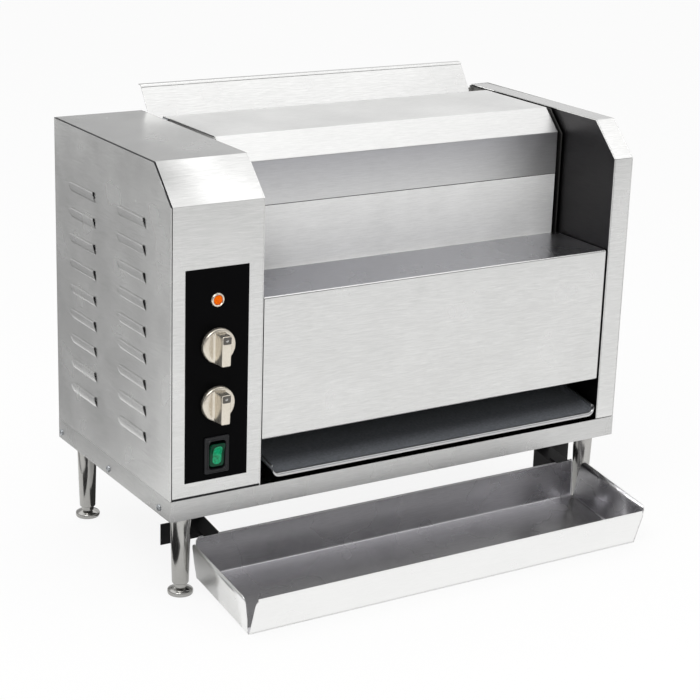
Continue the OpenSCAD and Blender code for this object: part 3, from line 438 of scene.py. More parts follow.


# Another finish, carrying painted shade, on the faces that look one way
def shadedFacesFinish(mesh, finish, facing, shadedFinish):
    mesh.materials.append(finish)
    mesh.materials.append(shadedFinish)
    for face in mesh.polygons:
        face.material_index = int(face.normal.dot(Vector(facing)) > 0.9)  # within 26 degrees of it
    return mesh


def bridge(bm, first, second, closed=True):
    count = len(first) if closed else len(first) - 1
    for i in range(count):
        j = (i + 1) % len(first)
        bm.faces.new((first[i], first[j], second[j], second[i]))


def bridgeRows(bm, rows, closed=True, capped=False):
    for first, second in zip(rows, rows[1:]):
        bridge(bm, first, second, closed)
    if capped:
        bm.faces.new(rows[0])
        bm.faces.new(rows[-1])


def box(bm, low, high, place=at):
    xs, ys, zs = zip(low, high)
    v = [bm.verts.new(place(x, y, z)) for x in xs for y in ys for z in zs]
    for face in ((0, 1, 3, 2), (4, 6, 7, 5), (0, 4, 5, 1), (2, 3, 7, 6), (0, 2, 6, 4), (1, 5, 7, 3)):
        bm.faces.new([v[i] for i in face])


# Angles of a quarter turn, in equal steps
def quarter(steps):
    return [math.radians(90 * k / steps) for k in range(steps + 1)]


# Flat faces inside the first loop and outside the others; returns their points and the faces
def fillWithHoles(points, loops):
    holesOpen, same = 5, 0.0001  # kind of result, and the distance under which two points are one
    spots, _, filled, _, _, _ = delaunay_2d_cdt(points, [], loops, holesOpen, same)
    return spots, filled


# Replaces the inner corners of a line by arcs
def bendCorners(line, radii, steps):
    out = [line[0]]
    for before, here, after, radius in zip(line, line[1:], line[2:], radii):
        into = (here - before).normalized()
        away = (after - here).normalized()
        turned = math.atan2(into.cross(away), into.dot(away))
        start = here - into * radius * math.tan(abs(turned) / 2)
        centre = start + Vector((-into.y, into.x)) * math.copysign(radius, turned)
        for k in range(steps + 1):
            out.append(centre + Matrix.Rotation(turned * k / steps, 2) @ (start - centre))
    return out + [line[-1]]


# Sheet bent along a line of (y, z) points, its thickness on the left of the line, from x0 to x1
def bentSheet(bm, line, thick, x0, x1, bend=2.2, steps=4):
    line = [Vector(p) for p in line]
    ways = [(b - a).normalized() for a, b in zip(line, line[1:])]
    sides = [Vector((-w.y, w.x)) for w in ways]
    back = [line[0] + sides[0] * thick]
    for a, b, p in zip(sides, sides[1:], line[1:]):
        back.append(p + (a + b) * thick / (1 + a.dot(b)))
    back.append(line[-1] + sides[-1] * thick)
    turns = [a.cross(b) for a, b in zip(ways, ways[1:])]
    tight = max(bend - thick, 0.3)  # the inside of a bend, never quite sharp
    front = bendCorners(line, [bend if t > 0 else tight for t in turns], steps)
    back = bendCorners(back, [tight if t > 0 else bend for t in turns], steps)
    rings = [[bm.verts.new(at(x, *p)) for p in front + back[::-1]] for x in (x0, x1)]
    bridge(bm, rings[0], rings[1])
    for ring in rings:
        bridge(bm, ring[:len(front)], ring[:len(front) - 1:-1], closed=False)


# Turned shape: (radius, distance along the axis) points swept round an axis through a body point
def turnedShape(bm, profile, centre, axis, segments):
    axes = {"x": ((1, 0, 0), (0, 1, 0), (0, 0, 1)), "y": ((0, 1, 0), (0, 0, 1), (1, 0, 0)),
            "z": ((0, 0, 1), (1, 0, 0), (0, 1, 0))}
    along, u, v = [Vector(a) for a in axes[axis]]
    rings = []
    for radius, reach in profile:
        ring = []
        for i in range(segments):
            a = 2 * math.pi * i / segments
            spot = Vector(centre) + along * reach + (u * math.cos(a) + v * math.sin(a)) * radius
            ring.append(bm.verts.new(at(*spot)))
        rings.append(ring)
    bridgeRows(bm, rings)
    for end in (0, -1):
        if profile[end][0] > 0:
            bm.faces.new(rings[end])


# Right-hand half of a rounded rectangle round (0, 0), from the bottom up
def halfOutline(halfWidth, halfHeight, radius, steps=5, rows=6):
    out = []
    for middle, start in ((radius - halfHeight, -math.pi / 2), (halfHeight - radius, 0)):
        for a in quarter(steps):
            turned = start + a
            out.append((halfWidth - radius + radius * math.cos(turned), middle + radius * math.sin(turned)))
        if start < 0:
            for k in range(1, rows):
                out.append((halfWidth, middle + (2 * halfHeight - 2 * radius) * k / rows))
    return out


# Loop of vertices round such an outline, in the plane of the control panel, at a depth given by the height
def outlineLoop(bm, half, middle, depth):
    loop = half + [(-x, z) for x, z in reversed(half)]
    return [bm.verts.new(at(middle[0] + x, depth(z), middle[1] + z)) for x, z in loop]


def fillLoop(bm, loop):
    n = len(loop) // 2
    bridge(bm, loop[:n], loop[:n - 1:-1], closed=False)


# Stack of such outlines, joined, with its last one filled and its first one too unless it stays open
def stackOutlines(bm, outlines, middle, depthAt, openBack=False):
    loops = [outlineLoop(bm, half, middle, depthAt(step)) for half, step in outlines]
    bridgeRows(bm, loops)
    if not openBack:
        fillLoop(bm, loops[0])
    fillLoop(bm, loops[-1])


# Geometry Nodes tree with named inputs; returns the tree, its group input and the inputs' identifiers
def startTree(name, sockets):
    tree = bpy.data.node_groups.new(name, "GeometryNodeTree")
    named = {}
    for label, kind in sockets.items():
        named[label] = tree.interface.new_socket(label, in_out="INPUT", socket_type=kind).identifier
    tree.interface.new_socket("Geometry", in_out="OUTPUT", socket_type="NodeSocketGeometry")
    return tree, addNode(tree, "NodeGroupInput"), named


# Puts copies on the points, makes them real, gives them their finish and ends the tree
def endTree(tree, given, points, rotation=None):
    source = addNode(tree, "GeometryNodeObjectInfo", {"Object": given.outputs["Source"]})
    inputs = {"Points": points, "Instance": source.outputs["Geometry"]}
    if rotation:
        inputs["Rotation"] = rotation
    copies = addNode(tree, "GeometryNodeInstanceOnPoints", inputs)
    real = addNode(tree, "GeometryNodeRealizeInstances", [copies.outputs[0]])
    done = addNode(tree, "GeometryNodeSetMaterial", {
        "Geometry": real.outputs[0], "Material": given.outputs["Finish"]})
    addNode(tree, "NodeGroupOutput", [done.outputs[0]])


# Runs a tree on a mesh and keeps the result as a plain mesh
def runTree(name, mesh, sourceMesh, tree, named, values):
    holder = bpy.data.objects.new(name, mesh)
    source = bpy.data.objects.new(name + " source", sourceMesh)
    scene.collection.objects.link(holder)
    scene.collection.objects.link(source)
    modifier = holder.modifiers.new("repeat", "NODES")
    modifier.node_group = tree
    for label, value in dict(values, Source=source).items():
        modifier[named[label]] = value
    depsgraph = bpy.context.evaluated_depsgraph_get()
    result = bpy.data.meshes.new_from_object(holder.evaluated_get(depsgraph))
    bpy.data.objects.remove(holder)
    bpy.data.objects.remove(source)
    return result


# Hood: one sheet over the belt, open at the back for the buns
hood = {"face": 107, "slope": 27, "seam": 325, "back": 267, "left": 122, "right": 599, "lap": 12,
        "endFlange": 9, "endBack": 249, "gap": 0.9, "bend": 2.4}
bm = bmesh.new()
hoodFront = [(hood["face"] + hood["slope"], top), (hood["face"], top - hood["slope"]),
             (hood["face"], hood["seam"] + hood["gap"])]
bentSheet(bm, [(hood["back"], top - hood["lap"]), (hood["back"], top)] + hoodFront,
          body["sheet"], hood["left"], hood["right"], hood["bend"])
for x in (hood["left"], hood["right"] - body["sheet"]):
    bentSheet(bm, [(hood["endBack"], top)] + hoodFront, hood["endFlange"], x, x + body["sheet"], hood["bend"])
# The hood's front faces take the satin with painted shade
hoodMesh = shadedFacesFinish(closeMesh("hoodSheet", bm), satinSteel, (0, -1, 0), paintedShadeSatin)
makeSheet("hoodSheet", hoodMesh, satinSteel, "hood", "hood")

# Panel between the hood and the front cover, with the ledge that the cover hangs on
upperPanel = {"ledge": 247.5, "ledgeDepth": 15, "right": 599}
bm = bmesh.new()
bentSheet(bm, [(hood["face"], hood["seam"]), (hood["face"], upperPanel["ledge"]),
               (hood["face"] - upperPanel["ledgeDepth"], upperPanel["ledge"])],
          body["sheet"], body["innerLeft"], upperPanel["right"])
makeSheet("upperPanel", bm, matteSteel, "body", "upper_front_panel")

# Front cover over the chute: bent top, face and lower lip, and two end plates
cover = {"set": 2, "top": 249, "low": 79, "lip": 12, "back": 103.5, "lap": 1.5, "bend": 2.4}
bm = bmesh.new()
coverLeft = body["innerLeft"] - cover["lap"]
coverRight = body["innerRight"] + cover["lap"]
coverLine = [(cover["back"], cover["top"]), (cover["set"], cover["top"]), (cover["set"], cover["low"]),
             (cover["set"] + cover["lip"], cover["low"])]
bentSheet(bm, coverLine, body["sheet"], coverLeft, coverRight, cover["bend"])
for x in (coverLeft, coverRight - body["sheet"]):
    box(bm, (x, cover["set"] + cover["bend"], cover["low"] + cover["bend"]),
        (x + body["sheet"], cover["back"], cover["top"] - cover["bend"]))
# The cover's upward faces take the darker stainless with painted shade
coverMesh = shadedFacesFinish(closeMesh("frontCover", bm), stainless, (0, 0, 1), paintedShadeSteel)
makeSheet("frontCover", coverMesh, stainless, "cover", "front_cover")

# Loading guide: leans out of the bun slot, with a hemmed upper edge
guide = {"lean": 34, "rise": 28, "lip": 6, "backY": 309.5, "footY": 285, "low": 352.3, "bend": 1.6,
         "hem": 4, "hemThick": 0.7}
bm = bmesh.new()
lean = Vector((math.sin(math.radians(guide["lean"])), math.cos(math.radians(guide["lean"]))))
guideTop = Vector((guide["backY"], top)) + lean * guide["rise"] / lean.y
footZ = top - (guide["backY"] - guide["footY"]) * lean.y / lean.x
guideLine = [guideTop + Vector((guide["lip"], 0)), guideTop, (guide["footY"], footZ),
             (guide["footY"], guide["low"])]
bentSheet(bm, guideLine, body["sheet"], hood["left"], hood["right"], guide["bend"])
bentSheet(bm, [guideTop - lean * guide["hem"], guideTop - lean], guide["hemThick"],
          hood["left"], hood["right"])
makeSheet("loadingGuide", bm, stainless, "guide", "bun_guide", angle=50)
print("sheet covers bent")

# Left side cover: flat sheet with a slot behind each louvre, hung inside the base rail
sideCover = {"inset": 1.1, "frontInset": 0.3, "skirtIn": 1.6, "skirtFront": 10, "skirtBack": 307.8,
             "skirtLow": 3, "skirtTop": 32}
louvre = {"columns": (62, 195), "count": 9, "pitch": 31.4, "first": 338.5, "length": 72, "height": 12,
          "out": 2.0, "wall": 0.7, "slant": 5, "slotIn": 1.2, "slotLength": 58, "slotTop": 0.9,
          "slotLow": 10.4, "frontEnd": 8, "rows": 6, "blunt": 0.25}
sideOutline = [(0, body["rail"]), (body["depth"], body["rail"]), (body["depth"], top), (body["chamfer"], top),
               (0, top - body["chamfer"])]
edgeIn, frontIn = sideCover["inset"], sideCover["frontInset"]
flat = [Vector(p) for p in ((frontIn, body["rail"]), sideOutline[1], (body["depth"], top - edgeIn),
                            (body["chamfer"] + edgeIn * mitre, top - edgeIn),
                            (frontIn, top - body["chamfer"] + frontIn - edgeIn * (1 + mitre)))]
loops = [list(range(len(flat)))]
for y in louvre["columns"]:
    slotEnd = y + louvre["slotLength"]
    slotFront = y + louvre["slotIn"]
    for i in range(louvre["count"]):
        z = louvre["first"] - i * louvre["pitch"]
        slotTop, slotLow = z - louvre["slotTop"], z - louvre["slotLow"]
        loops.append(list(range(len(flat), len(flat) + 4)))
        flat += [Vector(p) for p in ((slotFront + louvre["slotIn"], slotLow), (slotEnd, slotLow),
                                     (slotEnd, slotTop), (slotFront + louvre["slant"], slotTop))]
spots, filled = fillWithHoles(flat, loops)
bm = bmesh.new()
skins = [[bm.verts.new(at(x, *p)) for p in spots] for x in (0, body["sheet"])]
for skin in skins:
    for face in filled:
        bm.faces.new([skin[i] for i in face])
rims = [e for e in bm.edges if e.is_boundary and e.verts[0] in set(skins[0])]
partner = dict(zip(skins[0], skins[1]))
for e in rims:
    a, b = e.verts
    bm.faces.new((a, b, partner[b], partner[a]))


# Skirt that hangs inside the base rail
def sideSkirt(bm, x):
    box(bm, (x, sideCover["skirtFront"], sideCover["skirtLow"]),
        (x + body["sheet"], sideCover["skirtBack"], sideCover["skirtTop"]))


sideSkirt(bm, sideCover["skirtIn"])
makeSheet("sideCover", bm, stainless, "body", "left_side_cover")

# Right end cover: bent front, slope and top, outer side plate and its skirt, a fine seam above the rail
rightEnd = {"inner": 606.4, "seam": 0.8, "bend": 2.0}
bm = bmesh.new()
plateLow = body["rail"] + rightEnd["seam"]
plateX = body["width"] - body["sheet"]
bentSheet(bm, [(body["depth"], top), (body["chamfer"], top), (0, top - body["chamfer"]), (0, plateLow)],
          body["sheet"], rightEnd["inner"], plateX, rightEnd["bend"])
plate = [(0, plateLow), (body["depth"], plateLow)] + sideOutline[2:]
rings = [[bm.verts.new(at(x, *p)) for p in plate] for x in (plateX, body["width"])]
bridgeRows(bm, rings, capped=True)
sideSkirt(bm, plateX - sideCover["skirtIn"])
makeSheet("rightEndCover", bm, stainless, "body", "right_end_cover", edge=0.3, angle=30)

# Painted shadow: a black strip standing in for the shadow gap between the side cover and the control housing,
# along the slope and the top, and along the housing's foot
seam = {"out": 0.25, "deep": 1.7, "back": 1.3, "footLeft": 2, "footRight": 6, "footOut": 0.1, "footIn": 1,
        "foot": 2.5}
bm = bmesh.new()
edgeLine = [Vector(p) for p in (sideOutline[4], sideOutline[3], sideOutline[2])]
inward = [Vector((1, -mitre)), Vector((mitre, -1)), Vector((0, -1))]
rings = []
for spot, step in zip(edgeLine, inward):
    near, deep = spot + step * seam["out"], spot + step * seam["deep"]
    section = ((near, seam["out"]), (near, seam["back"]), (deep, seam["back"]), (deep, seam["out"]))
    rings.append([bm.verts.new(at(x, *p)) for p, x in section])
bridgeRows(bm, rings, capped=True)
box(bm, (seam["footLeft"], -seam["footOut"], body["rail"]),
    (body["control"] - seam["footRight"], seam["footIn"], body["rail"] + seam["foot"]))
makePiece("seamStrip", bm, blackPlastic, "body", [], 30)

# One louvre: crisp upper edge, long lower ramp, round closed back end, open front end cut at a slant.
# The ramp is (share of the reach, drop from the top).
bm = bmesh.new()
ramp = [(0, 0), (0.4, 0.06), (0.8, 0.3), (0.97, 0.8), (1, 1.6), (0.98, 3.2), (0.9, 5), (0.76, 7), (0.57, 9),
        (0.35, 10.6), (0.13, 11.6), (0, 12)]
halfHeight = louvre["height"] / 2
tail = louvre["length"] - halfHeight
frontEnd = louvre["frontEnd"]  # where the slanted end has straightened out
stations = [0] + [frontEnd + (tail - frontEnd) * k / louvre["rows"] for k in range(louvre["rows"])]
stations += [tail + halfHeight * math.sin(math.radians(a)) for a in (0, 15, 30, 45, 58, 69, 78, 84, 88, 90)]
skins = ([], [])
for u in stations:
    past = min(1, max(0, (u - tail) / halfHeight))
    full = math.sqrt(1 - past * past)
    for skin, setBack in zip(skins, (0, louvre["wall"])):
        row = []
        for reach, drop in ramp:
            z = -(halfHeight + (drop - halfHeight) * full)
            y = u if u else louvre["slant"] * (1 - drop / louvre["height"])
            x = setBack - louvre["out"] * reach * full ** louvre["blunt"]
            row.append(bm.verts.new(Vector((x, y, z)) * mm))
        skin.append(row)
for skin in skins:
    bridgeRows(bm, skin, closed=False)
for k in (0, -1):
    bridge(bm, skins[0][k], skins[1][k], closed=False)
    bridge(bm, [row[k] for row in skins[0]], [row[k] for row in skins[1]], closed=False)
louvreMesh = closeMesh("louvre", bm)
louvreTree, given, named = startTree("louvre columns", {
    "Geometry": "NodeSocketGeometry", "Source": "NodeSocketObject", "Finish": "NodeSocketMaterial",
    "Count": "NodeSocketInt", "Drop": "NodeSocketVector", "Front first": "NodeSocketVector",
    "Back first": "NodeSocketVector"})
both = addNode(louvreTree, "GeometryNodeJoinGeometry")
for label in ("Front first", "Back first"):
    column = addNode(louvreTree, "GeometryNodeMeshLine", {
        "Count": given.outputs["Count"], "Start Location": given.outputs[label],
        "Offset": given.outputs["Drop"]})
    louvreTree.links.new(column.outputs[0], both.inputs[0])
endTree(louvreTree, given, both.outputs[0])
louvres = runTree("louvres", bpy.data.meshes.new("louvres"), louvreMesh, louvreTree, named, {
    "Finish": stainless, "Count": louvre["count"], "Drop": (0, 0, -louvre["pitch"] * mm),
    "Front first": at(0, louvre["columns"][0], louvre["first"]),
    "Back first": at(0, louvre["columns"][1], louvre["first"])})
makePiece("louvres", louvres, stainless, "body", [], 60)
print("side cover and louvres made")

# Discharge chute: curved coated trough, its sides rolled up towards the front, with a light front lip
chute = {"left": 130, "right": 600, "lip": -1, "lipHeight": 36.4, "slope": 8, "rise": 130.6, "back": 296.3,
         "roll": 9, "rollStart": 40, "rollEnd": 150, "thick": 1.2, "rows": 32, "crowding": 1.4}
run = chute["back"] - chute["lip"]
slope = math.radians(chute["slope"])
sweep = (run ** 2 + chute["rise"] ** 2) / (2 * (chute["rise"] * math.cos(slope) - run * math.sin(slope)))
centreY = chute["lip"] - sweep * math.sin(slope)
centreZ = chute["lipHeight"] + sweep * math.cos(slope)


def chutePoint(x, y, lift):
    fade = max(0, 1 - max(0, y - chute["rollStart"]) / (chute["rollEnd"] - chute["rollStart"]))
    return at(x, y, centreZ - math.sqrt(sweep ** 2 - (y - centreY) ** 2) + lift * fade)


# Rows across the trough stand closer together towards the front
def chuteRow(k):
    return chute["lip"] + run * (k / chute["rows"]) ** chute["crowding"]


across = []
for a in reversed(quarter(6)):
    across.append((chute["left"] + chute["roll"] * (1 - math.sin(a)), chute["roll"] * (1 - math.cos(a))))
across += [(chute["left"] + chute["right"] - x, lift) for x, lift in reversed(across)]
bm = bmesh.new()
bridgeRows(bm, [[bm.verts.new(chutePoint(x, chuteRow(k), lift)) for x, lift in across]
                for k in range(chute["rows"] + 1)], closed=False)
chuteSheet = makePiece("chuteSheet", bm, coatedSheet, "body", ["bun_chute"], 50)
thicken(chuteSheet, chute["thick"], -1)

# Light steel strip round the trough's front, with a rounded nose, and along its rolled sides
lip = {"sideRows": 14, "nose": 2.4, "noseY": 0.6, "above": 0.25, "inner": 2.2, "under": -1.8, "edge": 4}
sideSection = [(-1.6, 0.35), (-0.8, 0.4), (0.1, 0.35), (0.5, 0), (0.6, -0.6), (0.6, -2), (-1.6, -2)]
noseSection = [(lip["inner"], lip["above"]), (lip["noseY"], lip["above"])]
for a in (30, 55, 80):
    turned = math.radians(a)
    noseSection.append((lip["noseY"] - lip["nose"] * math.sin(turned),
                        lip["above"] - lip["nose"] * (1 - math.cos(turned))))
noseSection += [(lip["under"], -lip["edge"]), (lip["inner"], -lip["edge"])]
acrossNose = [Vector((0, y, z)) for y, z in noseSection]
leftSide, rightSide = [[Vector((side * x, 0, z)) for x, z in sideSection] for side in (-1, 1)]
sideRows = range(1, lip["sideRows"] + 1)
strip = [(across[0][0], chuteRow(k), across[0][1], leftSide) for k in reversed(sideRows)]
strip += [(x, chute["lip"], lift, acrossNose) for x, lift in across]
strip += [(across[-1][0], chuteRow(k), across[-1][1], rightSide) for k in sideRows]
bm = bmesh.new()
rings = [[bm.verts.new(chutePoint(x, y, lift) + v * mm) for v in section] for x, y, lift, section in strip]
bridgeRows(bm, rings, capped=True)
makePiece("chuteLip", bm, lipSteel, "body", [], 50)
print("chute made")

# Knobs: turned skirt, bar grip filleted into it, pointer notch; one for the heat and one for the belt
knob = {"heat": 203, "speed": 135, "radius": 20.5, "back": -1.2, "front": -7.2, "tip": -24.6, "lean": 1.6,
        "grip": 11, "flare": 0.8, "up": 16, "down": 19.5, "fillet": 2.6, "round": 1.3, "notch": 8.6,
        "notchWidth": 10.2, "notchRound": 1.4, "notchTop": 0.6, "notchOut": 0.06, "notchIn": 0.8, "dot": 2.0,
        "shaft": 3, "shaftEnd": 18, "rimGap": 1, "filletLeast": 0.3, "filletSunk": 0.8, "rows": 12}


def knobTip(height):
    return knob["tip"] + knob["lean"] * (knob["up"] - height) / (knob["up"] + knob["down"])


# Loop round the grip at one height, pulled in by an inset near its ends
def gripLoop(bm, z, height, inset):
    f, r = knob["front"], knob["round"]
    foot, tip = knob["grip"] / 2 + knob["flare"] - inset, knob["grip"] / 2 - inset
    chord = math.sqrt(max(0, (knob["radius"] - knob["rimGap"]) ** 2 - height ** 2))
    fillet = min(knob["fillet"], max(knob["filletLeast"], chord - foot - knob["filletLeast"]))
    front = knobTip(height) + inset
    half = [(foot + fillet, f + knob["filletSunk"])]
    for a in quarter(6):
        half.append((foot + fillet * (1 - math.sin(a)), f - fillet * (1 - math.cos(a))))
    for a in quarter(4):
        half.append((tip - r * (1 - math.cos(a)), front + r * (1 - math.sin(a))))
    loop = half + [(-x, y) for x, y in reversed(half)]
    return [bm.verts.new(at(controlX + x, y, z + height)) for x, y in loop]


def knobMesh(name, z):
    bm = bmesh.new()
    r, f, b = knob["radius"], knob["front"], knob["back"]
    shaft = [(0, knob["shaftEnd"]), (knob["shaft"], knob["shaftEnd"]), (knob["shaft"], b)]
    skirt = [(r - 1.5, b), (r - 0.4, b - 0.3), (r, b - 1), (r - 0.1, f + 2.4), (r - 0.5, f + 1.1),
             (r - 1.3, f + 0.3), (r - 2.4, f), (r - 9, f + 0.3), (0, f + 0.4)]
    turnedShape(bm, shaft + skirt, (controlX, 0, z), "y", 72)
    e = knob["round"]
    ends = [(0, e), (0.1 * e, 0.56 * e), (0.3 * e, 0.29 * e), (0.62 * e, 0.07 * e), (e, 0)]
    low, high = -knob["down"], knob["up"]
    stations = [(low + d, i) for d, i in ends]
    rows = knob["rows"]
    stations += [(low + e + (high - low - 2 * e) * k / rows, 0) for k in range(1, rows)]
    stations += [(high - d, i) for d, i in reversed(ends)]
    loops = [gripLoop(bm, z, height, inset) for height, inset in stations]
    bridgeRows(bm, loops)
    fillLoop(bm, loops[0])
    fillLoop(bm, loops[-1])
    return closeMesh(name, bm)


# Grey plate let into the grip's front, with a bright dot
def pointerMesh(name, z):
    bm = bmesh.new()
    size = knob["notch"] / 2
    height = knob["up"] - knob["notchTop"] - size
    plate = halfOutline(knob["notchWidth"] / 2, size, knob["notchRound"], 4, 2)
    front, back = [outlineLoop(bm, plate, (controlX, z + height), lambda h: knobTip(height + h) + depth)
                   for depth in (-knob["notchOut"], knob["notchIn"])]
    fillLoop(bm, front)
    bridge(bm, front, back)
    plateFaces = set(bm.faces)
    deep = knobTip(height)
    turnedShape(bm, [(0, deep - 0.6), (0.9, deep - 0.52), (1.6, deep - 0.3), (knob["dot"], deep + 0.2)],
                (controlX, 0, z + height), "y", 24)
    for face in set(bm.faces) - plateFaces:
        face.material_index = 1
    mesh = closeMesh(name, bm)
    mesh.materials.append(notchGrey)
    mesh.materials.append(chrome)
    return mesh


for name, node, bodyName, z in (("heatKnob", "temperature_knob", "temperature", knob["heat"]),
                                ("speedKnob", "speed_knob", "speed", knob["speed"])):
    makePiece(name, knobMesh(name, z), nickel, bodyName, [node], 40)
    makePiece(name + "Pointer", pointerMesh(name + "Pointer", z), notchGrey, bodyName, [], 40)

# Pilot lamp: bright ring and a domed amber lens
pilot = {"z": 255, "ring": 8.3, "body": 7.5, "lens": 5.6, "lensGap": 0.1, "lensBack": 11.9, "bore": 12,
         "back": 26}
lampMiddle = (controlX, 0, pilot["z"])
bore = pilot["lens"] + pilot["lensGap"]
bm = bmesh.new()
turnedShape(bm, [(0, pilot["bore"]), (bore, pilot["bore"]), (bore, panelY - 1.6), (6.1, panelY - 2.0),
                 (6.7, panelY - 2.05), (7.4, panelY - 1.8), (7.9, panelY - 1.2), (8.2, panelY - 0.5),
                 (pilot["ring"], panelY), (pilot["body"], panelY), (pilot["body"], pilot["back"]),
                 (0, pilot["back"])], lampMiddle, "y", 56)
makePiece("lampRing", bm, nickel, "body", ["pilot_lamp"], 40)
bm = bmesh.new()
turnedShape(bm, [(0, panelY - 2.5), (2, panelY - 2.4), (3.8, panelY - 2.05), (4.9, panelY - 1.6),
                 (5.4, panelY - 1.1), (pilot["lens"], panelY - 0.4), (pilot["lens"], pilot["lensBack"]),
                 (0, pilot["lensBack"])], lampMiddle, "y", 48)
makePiece("lampLens", bm, amber, "body", ["lamp_lens"], 50)

# Power switch: black bezel with a raised inner rim
switch = {"z": 73.5, "width": 31, "height": 43.5, "lip": 2.5, "chamfer": 0.7, "openWidth": 20.2,
          "openHeight": 33.6, "openDepth": 14, "wall": 1.8, "depth": 28, "rimOut": 0.9}
rocker = {"width": 19, "height": 29, "pivotY": 3, "tilt": 10, "face": 6.5, "dish": 2, "dishSpan": 14,
          "pin": 1.5, "pinReach": 11.2, "windowWidth": 11.2, "windowHeight": 22.4}
switchMiddle = (controlX, switch["z"])
bezelX, bezelZ = switch["width"] / 2, switch["height"] / 2
openX, openZ = switch["openWidth"] / 2, switch["openHeight"] / 2
wall, chamfer = switch["wall"], switch["chamfer"]
lipY = panelY - switch["lip"]
rimY = lipY - switch["rimOut"]
bm = bmesh.new()
stackOutlines(bm, [
    (halfOutline(openX + wall, openZ + wall, 1.8), switch["depth"]),
    (halfOutline(openX + wall, openZ + wall, 1.8), panelY),
    (halfOutline(bezelX, bezelZ, 1.8), panelY),
    (halfOutline(bezelX, bezelZ, 1.8), lipY + chamfer),
    (halfOutline(bezelX - chamfer, bezelZ - chamfer, 1.4), lipY),
    (halfOutline(openX + 2.6, openZ + 2.4, 5.6), lipY),
    (halfOutline(openX + 2.0, openZ + 1.8, 5.2), rimY),
    (halfOutline(openX + 0.8, openZ + 0.6, 4.6), rimY),
    (halfOutline(openX, openZ, 4.0), lipY),
    (halfOutline(openX, openZ, 4.0), switch["openDepth"]),
], switchMiddle, lambda y: lambda height: y)
makePiece("switchBezel", bm, blackPlastic, "body", ["switch_body"], 40)


# Rocker's front: dished along its height and tipped about its pivot
def rockerDepth(inset):
    tilt = math.radians(rocker["tilt"])

    def depth(height):
        out = -rocker["face"] - rocker["dish"] * (height / rocker["dishSpan"]) ** 2 + inset
        return rocker["pivotY"] + out * math.cos(tilt) - height * math.sin(tilt)
    return depth


# Green rocker on its pin, with a pill-shaped window: how far each outline is drawn in across and up,
# its corner radius, and how deep it lies
def rockerOutlines(halfWidth, halfHeight, steps, arcSteps):
    return [(halfOutline(halfWidth - inX, halfHeight - inZ, radius, arcSteps, 10), inset)
            for inX, inZ, radius, inset in steps]


bm = bmesh.new()
stackOutlines(bm, rockerOutlines(rocker["width"] / 2, rocker["height"] / 2, [
    (0.3, 3, 2.5, 9.5), (0, 0.4, 4, 3), (0, 0, 4, 1.3), (0.4, 0.4, 3.7, 0.5), (1.2, 1.2, 3.2, 0.05),
    (2, 2, 3, 0)], 5), switchMiddle, rockerDepth)
turnedShape(bm, [(0, -rocker["pinReach"]), (rocker["pin"], -rocker["pinReach"]),
                 (rocker["pin"], rocker["pinReach"]), (0, rocker["pinReach"])],
            (controlX, rocker["pivotY"], switch["z"]), "x", 16)
makePiece("rocker", bm, green, "rocker", ["switch_rocker"], 50)
bm = bmesh.new()
stackOutlines(bm, rockerOutlines(rocker["windowWidth"] / 2, rocker["windowHeight"] / 2, [
    (0, 0, 5.0, 0.6), (0, 0, 5.0, -0.15), (0.5, 0.5, 4.6, -0.5), (1.4, 1.4, 3.8, -0.6)], 6),
    switchMiddle, rockerDepth, openBack=True)
makePiece("rockerWindow", bm, greenWindow, "rocker", [], 50)
print("controls made")

# Catch tray: floor, front and back folded from one strip, ends folded from the floor, open corners
tray = {"width": 548, "depth": 128, "wall": 50, "slope": 8, "flare": 10, "front": -107.5, "low": 0.9,
        "bend": 3, "foldSteps": 6, "corner": 8, "hookStart": 53, "hookWidth": 19, "hook": 14}
trayTilt = math.radians(tray["slope"])
trayLeft = (body["width"] - tray["width"]) / 2


def trayPoint(x, y, z):
    return at(trayLeft + x, tray["front"] + y * math.cos(trayTilt) - z * math.sin(trayTilt),
              tray["low"] - body["legHeight"] + y * math.sin(trayTilt) + z * math.cos(trayTilt))


# Line from the floor up a wall: (distance out from the fold, height, distance below the wall's edge)
wallTurn = math.radians(90 - tray["flare"])
reach = tray["bend"] * math.tan(wallTurn / 2)
farBelow = 99  # stands for the points of the fold, which no corner cut reaches
foldLine = []
for k in range(tray["foldSteps"] + 1):
    a = wallTurn * k / tray["foldSteps"]
    foldLine.append((-reach + tray["bend"] * math.sin(a), tray["bend"] * (1 - math.cos(a)), farBelow))
cornerSteps = [tray["corner"] * (1 - math.sin(a)) for a in quarter(6)]
for below in [(tray["wall"] + tray["corner"]) / 2] + cornerSteps:
    out = tray["wall"] - below
    foldLine.append((out * math.cos(wallTurn), out * math.sin(wallTurn), below))


# How far a wall's rounded upper corner is cut back at a distance below its edge
def cornerCut(below):
    r = tray["corner"]
    return r - math.sqrt(max(0, r * r - max(0, r - below) ** 2))


bm = bmesh.new()
line = [(-out, z, below) for out, z, below in reversed(foldLine)]
line += [(tray["depth"] + out, z, below) for out, z, below in foldLine]
rows = []
for y, z, below in line:
    cut = cornerCut(below)
    xs = (cut, reach, tray["width"] - reach, tray["width"] - cut)
    rows.append([bm.verts.new(trayPoint(x, y, z)) for x in xs])
for i, (a, b) in enumerate(zip(rows, rows[1:])):
    onFloor = i == len(foldLine) - 1
    for k in range(3):
        if not (onFloor and k != 1):
            bm.faces.new((a[k], a[k + 1], b[k + 1], b[k]))
for fold, side in ((0, -1), (tray["width"], 1)):
    rows = []
    for out, z, below in foldLine:
        cut = reach if below == farBelow else cornerCut(below)
        rows.append([bm.verts.new(trayPoint(fold + side * out, y, z)) for y in (cut, tray["depth"] - cut)])
    bridgeRows(bm, rows, closed=False)
trayMesh = closeMesh("traySheet", bm)
trayMesh.materials.append(trayLitSteel)
trayMesh.materials.append(trayShadedSteel)
traySheet = makePiece("traySheet", trayMesh, trayLitSteel, "tray", ["catch_tray"], 40)
thicken(traySheet, body["sheet"], 1).material_offset = 1  # painted light outside, painted shade inside
